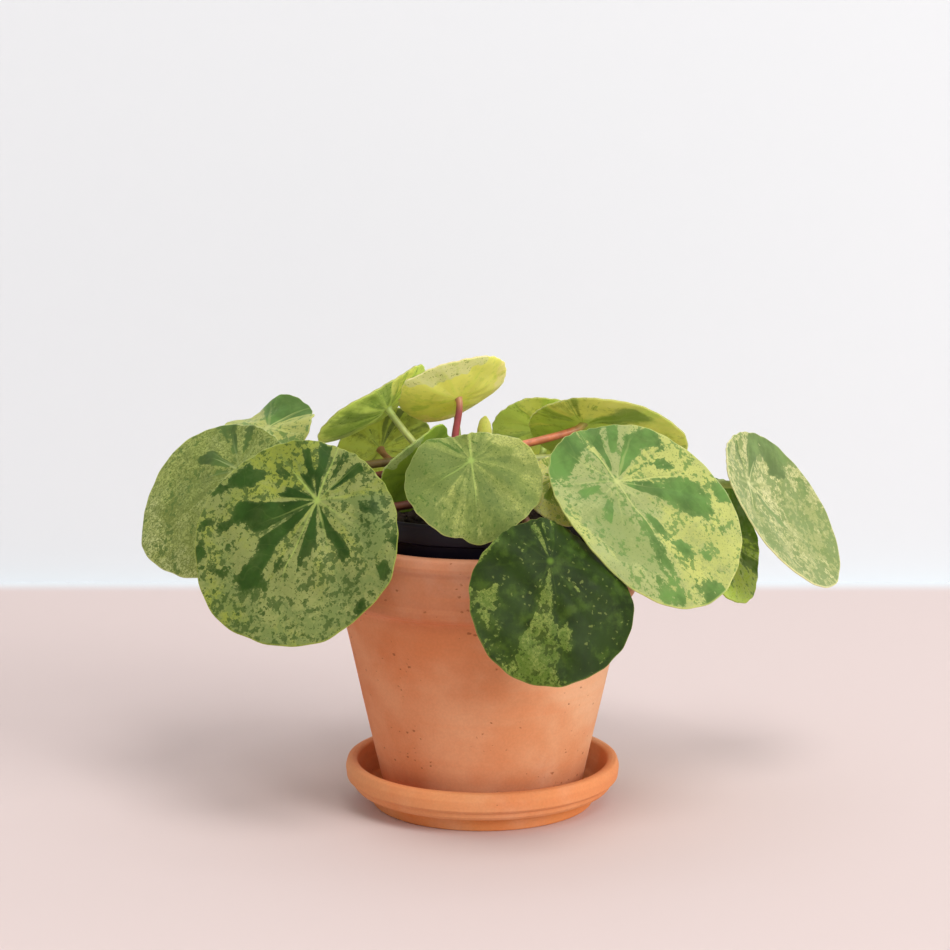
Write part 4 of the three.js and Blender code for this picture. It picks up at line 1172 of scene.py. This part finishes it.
class PILEA_OT_blades(bpy.types.Operator):
    """Makes the leaf blades"""

    bl_idname = "pilea.blades"
    bl_label = "Leaf blades"

    def execute(self, context):
        colours = context.scene.pilea_colours
        settings = context.scene.pilea_leaves
        materials = {}
        for tone in TONES:
            chosen = {part: tuple(getattr(colours, f"{tone}_{part}")) for part in TONE_PARTS}
            materials[tone] = [upper_material(tone, chosen), under_material(tone, chosen)]
        discs = [(least, self.make_disc(int(settings.sectors * share), int(settings.rings * share)))
                 for least, share in ((62, 1), (40, 0.75), (0, 0.5))]
        for leaf in LEAVES:
            disc = next(disc for least, disc in discs if max(leaf["size"]) >= least)
            self.add_blade(settings, leaf, disc, materials[leaf["tone"]])
        for _, disc in discs:
            bpy.data.objects.remove(disc)
        return {"FINISHED"}

    def make_disc(self, sectors, rings):
        """A flat disc of rings, with its middle at the origin and its radius 1, for the blades to be shaped from."""
        deselect_all()
        bpy.ops.mesh.primitive_circle_add(vertices=sectors, radius=1, fill_type="NOTHING")
        disc = bpy.context.object
        bpy.ops.object.mode_set(mode="EDIT")
        bpy.ops.mesh.select_all(action="SELECT")
        share = 1.0
        for next_share in (0.985, *(ring / rings for ring in range(rings - 1, 0, -1))):
            smaller = next_share / share
            bpy.ops.mesh.extrude_edges_move()
            bpy.ops.transform.resize(value=(smaller, smaller, 1), center_override=(0, 0, 0))
            share = next_share
        bpy.ops.mesh.extrude_edges_move()
        bpy.ops.mesh.merge(type="CENTER")
        bpy.ops.mesh.select_all(action="SELECT")
        bpy.ops.mesh.normals_make_consistent(inside=False)
        bpy.ops.object.mode_set(mode="OBJECT")
        if disc.data.polygons[0].normal.z < 0:
            disc.data.flip_normals()
        return disc

    def add_blade(self, settings, leaf, disc, materials):
        make_active(disc)
        bpy.ops.object.duplicate()
        blade = bpy.context.object
        blade.name = f"leaf_{leaf['id']}_leaf_blade"
        flat = coordinates(blade)
        share = np.hypot(flat[:, 0], flat[:, 1])
        angle = np.arctan2(flat[:, 1], flat[:, 0])
        seed = int(leaf["id"]) * 1.37
        u, v, w = blade_surface(leaf, share, angle)
        spacing = 2 * math.pi / settings.veins
        between = np.abs((wandering(angle, seed) / spacing + 0.5) % 1 - 0.5) * spacing
        groove = 3.6
        relief = settings.relief / MM
        swell = relief * (1 - np.exp(-((between * np.hypot(u, v) / groove) ** 2))) * np.clip(share * 4, 0, 1)
        w = w + (swell - relief / 2) * (1 - share ** 4)
        tip, across, out = (np.array(axis) for axis in leaf_axes(leaf))
        places = np.array(leaf["hub"]) + u[:, None] * tip + v[:, None] * across + w[:, None] * out
        low, high = (np.array(corner) / MM for corner in CAD_BOX)
        margin = settings.thickness / MM / 2
        places = np.clip(places, low + margin, high - margin)
        move_to(blade, places * MM)
        store_vectors(blade, "leaf", np.stack([u / LEAF_UNIT, v / LEAF_UNIT, np.full_like(u, seed)], 1))
        store(blade, "share", share)
        for name, (direction, reach) in zip(RIBS, leaf.get("ribs", USUAL_RIBS)):
            rib = (math.cos(math.radians(direction)), math.sin(math.radians(direction)), reach)
            store_vectors(blade, name, np.tile(rib, (len(share), 1)))
        for colour, amount in zip(("dark", "grey", "warm"), leaf["amounts"]):
            strokes = leaf.get(colour, ())
            if colour == "dark" and not strokes:
                strokes = own_arms(leaf)
            store(blade, colour, painted(share, angle, amount, strokes))
        make_active(blade)
        for extra in materials:
            blade.data.materials.append(extra)
        thick = blade.modifiers.new("thickness", "SOLIDIFY")
        thick.thickness = settings.thickness
        thick.offset = 0
        thick.material_offset = 1
        thick.material_offset_rim = 0
        bpy.ops.object.modifier_apply(modifier=thick.name)
        rounding = blade.modifiers.new("rounded_rim", "BEVEL")
        rounding.width = settings.thickness * 0.35
        rounding.segments = 2
        rounding.limit_method = "ANGLE"
        rounding.angle_limit = math.radians(50)
        bpy.ops.object.modifier_apply(modifier=rounding.name)
        bpy.ops.object.shade_smooth()
        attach(blade, "root")
        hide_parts(f"leaf_{leaf['id']}_blade")
        "leaf_" + leaf.get("slot", SLOTS.get(leaf["tone"], leaf["tone"]))


# ---- Petioles -------------------------------------------------------------------------------------

def petiole_path(leaf, thickness):
    """The four control points of a petiole's Bezier curve, and its radius."""
    radius = 0.9 + 0.0065 * leaf["size"][0]
    x, y, trunk_radius = (float(part) for part in trunk_at(leaf["root"]))
    middle = Vector((x, y, leaf["root"]))
    hub = Vector(leaf["hub"])
    out = leaf_axes(leaf)[2]
    heading = math.atan2(hub.y - y, hub.x - x) + math.radians(leaf["side"])
    outward = Vector((math.cos(heading), math.sin(heading), 0))
    start = middle + outward * (trunk_radius + GAP)
    end = hub - out * (thickness / 2 + GAP)
    into_bark = 1.2
    reach = (start - end).length
    first = start + outward * reach * 0.3 + Vector((0, 0, leaf["lift"][0]))
    second = end - out * reach * 0.25 + Vector((0, 0, leaf["lift"][1]))
    # It grows out of the bark and into the blade, so both ends go past the solids' gaps.
    return start - outward * into_bark, first, second, hub, radius


class PILEA_OT_petioles(bpy.types.Operator):
    """Makes the leaf stalks"""

    bl_idname = "pilea.petioles"
    bl_label = "Petioles"

    def execute(self, context):
        materials = {stalk: self.stalk_material(stalk, *(srgb(*colour) for colour in row))
                     for stalk, row in STALK_COLOURS.items()}
        for leaf in LEAVES:
            self.add_petiole(context.scene.pilea_leaves, leaf, materials[leaf["stalk"]])
        return {"FINISHED"}

    def stalk_material(self, stalk, base, middle, top):
        material, tree, shader = new_material("stalk_" + stalk, Roughness=0.4, Specular_IOR_Level=0.5)
        along = tree.attribute("along")
        streaks = tree.noise(tree.place(), 300.0, 3)
        colour = tree.mix(tree.step(along, 0.0, 0.35), base, middle)
        colour = tree.mix(tree.step(along, 0.7, 1.0), colour, top)
        shade = tree.mix(tree.step(streaks, 0.35, 0.65), (0.82, 0.82, 0.82), (1.08, 1.08, 1.08))
        tree.plug(shader.inputs["Base Color"], tree.tint(1.0, colour, shade))
        bump(tree, shader, streaks, 0.3, 0.2)
        return material

    def add_petiole(self, settings, leaf, material):
        start, first, second, end, radius = petiole_path(leaf, settings.thickness / MM)
        deselect_all()
        bpy.ops.curve.primitive_bezier_curve_add(location=(0, 0, 0))
        petiole = bpy.context.object
        petiole.name = f"leaf_{leaf['id']}_leaf_petiole"
        curve = petiole.data
        spline = curve.splines[0]
        a, b = spline.bezier_points
        for point in (a, b):
            point.handle_left_type = point.handle_right_type = "FREE"
        a.co, a.handle_right, a.handle_left = start * MM, first * MM, (start * 2 - first) * MM
        b.co, b.handle_left, b.handle_right = end * MM, second * MM, (end * 2 - second) * MM
        spline.resolution_u = 32
        curve.dimensions = "3D"
        curve.bevel_depth = radius * STALK_GAIN * MM
        curve.bevel_resolution = 4
        curve.use_fill_caps = True
        bpy.ops.object.convert(target="MESH")
        petiole = bpy.context.object
        bpy.ops.object.mode_set(mode="EDIT")
        bpy.ops.mesh.select_all(action="SELECT")
        bpy.ops.mesh.remove_doubles(threshold=1e-6)
        bpy.ops.mesh.normals_make_consistent(inside=False)
        bpy.ops.object.mode_set(mode="OBJECT")
        places = coordinates(petiole) / MM
        t = np.linspace(0, 1, 400)[:, None]
        path = ((1 - t) ** 3 * np.array(start) + 3 * t * (1 - t) ** 2 * np.array(first)
                + 3 * t * t * (1 - t) * np.array(second) + t ** 3 * np.array(end))
        nearest = np.argmin(((places[:, None, :] - path[None]) ** 2).sum(2), 1)
        along = t[nearest, 0]
        # Swollen where it leaves the bark, slimmer towards the blade, and flared where it joins it.
        swell = 1.12 - 0.22 * along + 0.5 * np.exp(-along * 22) + 0.45 * np.exp(-(1 - along) * 30)
        places = path[nearest] + (places - path[nearest]) * swell[:, None]
        out = np.array(leaf_axes(leaf)[2])
        above = np.maximum(0, (places - np.array(leaf["hub"])) @ out + 0.25) * (along > 0.8)
        places -= above[:, None] * out
        move_to(petiole, places * MM)
        store(petiole, "along", along)
        finish_piece(petiole, material, f"leaf_{leaf['id']}_petiole", 60)


# ---- Stage ----------------------------------------------------------------------------------------

class PILEA_OT_stage(bpy.types.Operator):
    """Makes the floor, the wall, the lights and the camera"""

    bl_idname = "pilea.stage"
    bl_label = "Stage"

    def execute(self, context):
        stage = context.scene.pilea_stage
        self.add_floor(stage)
        self.add_lights(context.scene, stage)
        self.add_camera(context.scene)
        return {"FINISHED"}

    def add_floor(self, stage):
        deselect_all()
        far = stage.wall_distance
        size = 12
        bpy.ops.mesh.primitive_plane_add(size=size, location=(0, far - size / 2, 0))
        floor = bpy.context.object
        floor.name = "floor"
        bpy.ops.object.transform_apply(location=True, rotation=True, scale=True)
        select_vertices(floor, lambda co: co.y > far - 0.01)
        bpy.ops.mesh.extrude_edges_move()
        bpy.ops.transform.translate(value=(0, 0, 3))
        bpy.ops.object.mode_set(mode="OBJECT")
        material, tree, shader = new_material("floor_and_wall", Roughness=0.7, Specular_IOR_Level=0.2)
        depth = tree.split(tree.place())[1]
        colour = tree.mix(tree.step(depth, far - 0.03, far), tuple(stage.floor), tuple(stage.wall))
        tree.plug(shader.inputs["Base Color"], colour)
        # The wall is clear from behind, for the views from there.
        clear = tree.value("BsdfTransparent", {})
        behind = tree.value("NewGeometry", {}, "Backfacing")
        mixed = tree.value("MixShader", {0: behind, 1: Value(tree, shader.outputs[0]), 2: clear})
        output = next(node for node in material.node_tree.nodes if node.type == "OUTPUT_MATERIAL")
        tree.plug(output.inputs["Surface"], mixed)
        floor.data.materials.append(material)

    def add_lights(self, scene, stage):
        world = bpy.data.worlds.new("soft_light")
        world.use_nodes = True
        background = world.node_tree.nodes["Background"]
        background.inputs["Color"].default_value = (1, 1, 1, 1)
        background.inputs["Strength"].default_value = stage.ambient
        scene.world = world
        target = Vector((0, 0, 0.1))
        for name, place, size, power in (
                ("key_light", (3.75, -3.6, 2.6), 2.4, stage.key_power),
                ("top_light", (1.1, -2.65, 5.3), 2.6, stage.top_power)):
            bpy.ops.object.light_add(type="AREA", location=place)
            light = bpy.context.object
            light.name = name
            light.data.size = size
            light.data.energy = power
            light.rotation_euler = (target - Vector(place)).to_track_quat("-Z", "Y").to_euler()

    def add_camera(self, scene):
        place, tilt = (-0.0034, -1.2, 0.3673), 10.23
        bpy.ops.object.camera_add(location=place, rotation=(math.radians(90 - tilt), 0, 0))
        camera = bpy.context.object
        sensor, picture, focal_length = 36, 950, 2712.7  # the last two in pixels
        camera.data.sensor_width = sensor
        camera.data.lens = sensor * focal_length / picture
        scene.camera = camera


# ---- Panel and registration -----------------------------------------------------------------------

OPERATORS = (
    PILEA_OT_stage,
    PILEA_OT_saucer,
    PILEA_OT_clay_pot,
    PILEA_OT_nursery_pot,
    PILEA_OT_soil,
    PILEA_OT_trunk,
    PILEA_OT_blades,
    PILEA_OT_petioles,
)
SETTINGS = {
    "pilea_pots": PotSettings,
    "pilea_leaves": LeafSettings,
    "pilea_colours": LeafColours,
    "pilea_stage": StageSettings,
}


class VIEW3D_PT_pilea(bpy.types.Panel):
    """Lists the pieces and their settings"""

    bl_idname = "VIEW3D_PT_pilea"
    bl_label = "Potted pilea"
    bl_space_type = "VIEW_3D"
    bl_region_type = "UI"
    bl_category = "Pilea"

    def draw(self, context):
        for operator in OPERATORS:
            self.layout.operator(operator.bl_idname)
        for name, settings in SETTINGS.items():
            box = self.layout.box()
            for key in settings.__annotations__:
                box.prop(getattr(context.scene, name), key)


def register():
    for settings in SETTINGS.values():
        bpy.utils.register_class(settings)
    for name, settings in SETTINGS.items():
        setattr(bpy.types.Scene, name, PointerProperty(type=settings))
    for cls in (*OPERATORS, VIEW3D_PT_pilea):
        bpy.utils.register_class(cls)


def unregister():
    for cls in reversed((*OPERATORS, VIEW3D_PT_pilea)):
        bpy.utils.unregister_class(cls)
    for name, settings in SETTINGS.items():
        delattr(bpy.types.Scene, name)
        bpy.utils.unregister_class(settings)


def main():
    register()
    bpy.context.scene.view_settings.view_transform = "Standard"
    for operator in OPERATORS:
        group, name = operator.bl_idname.split(".")
        getattr(getattr(bpy.ops, group), name)()
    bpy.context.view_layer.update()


if __name__ == "__main__":
    main()
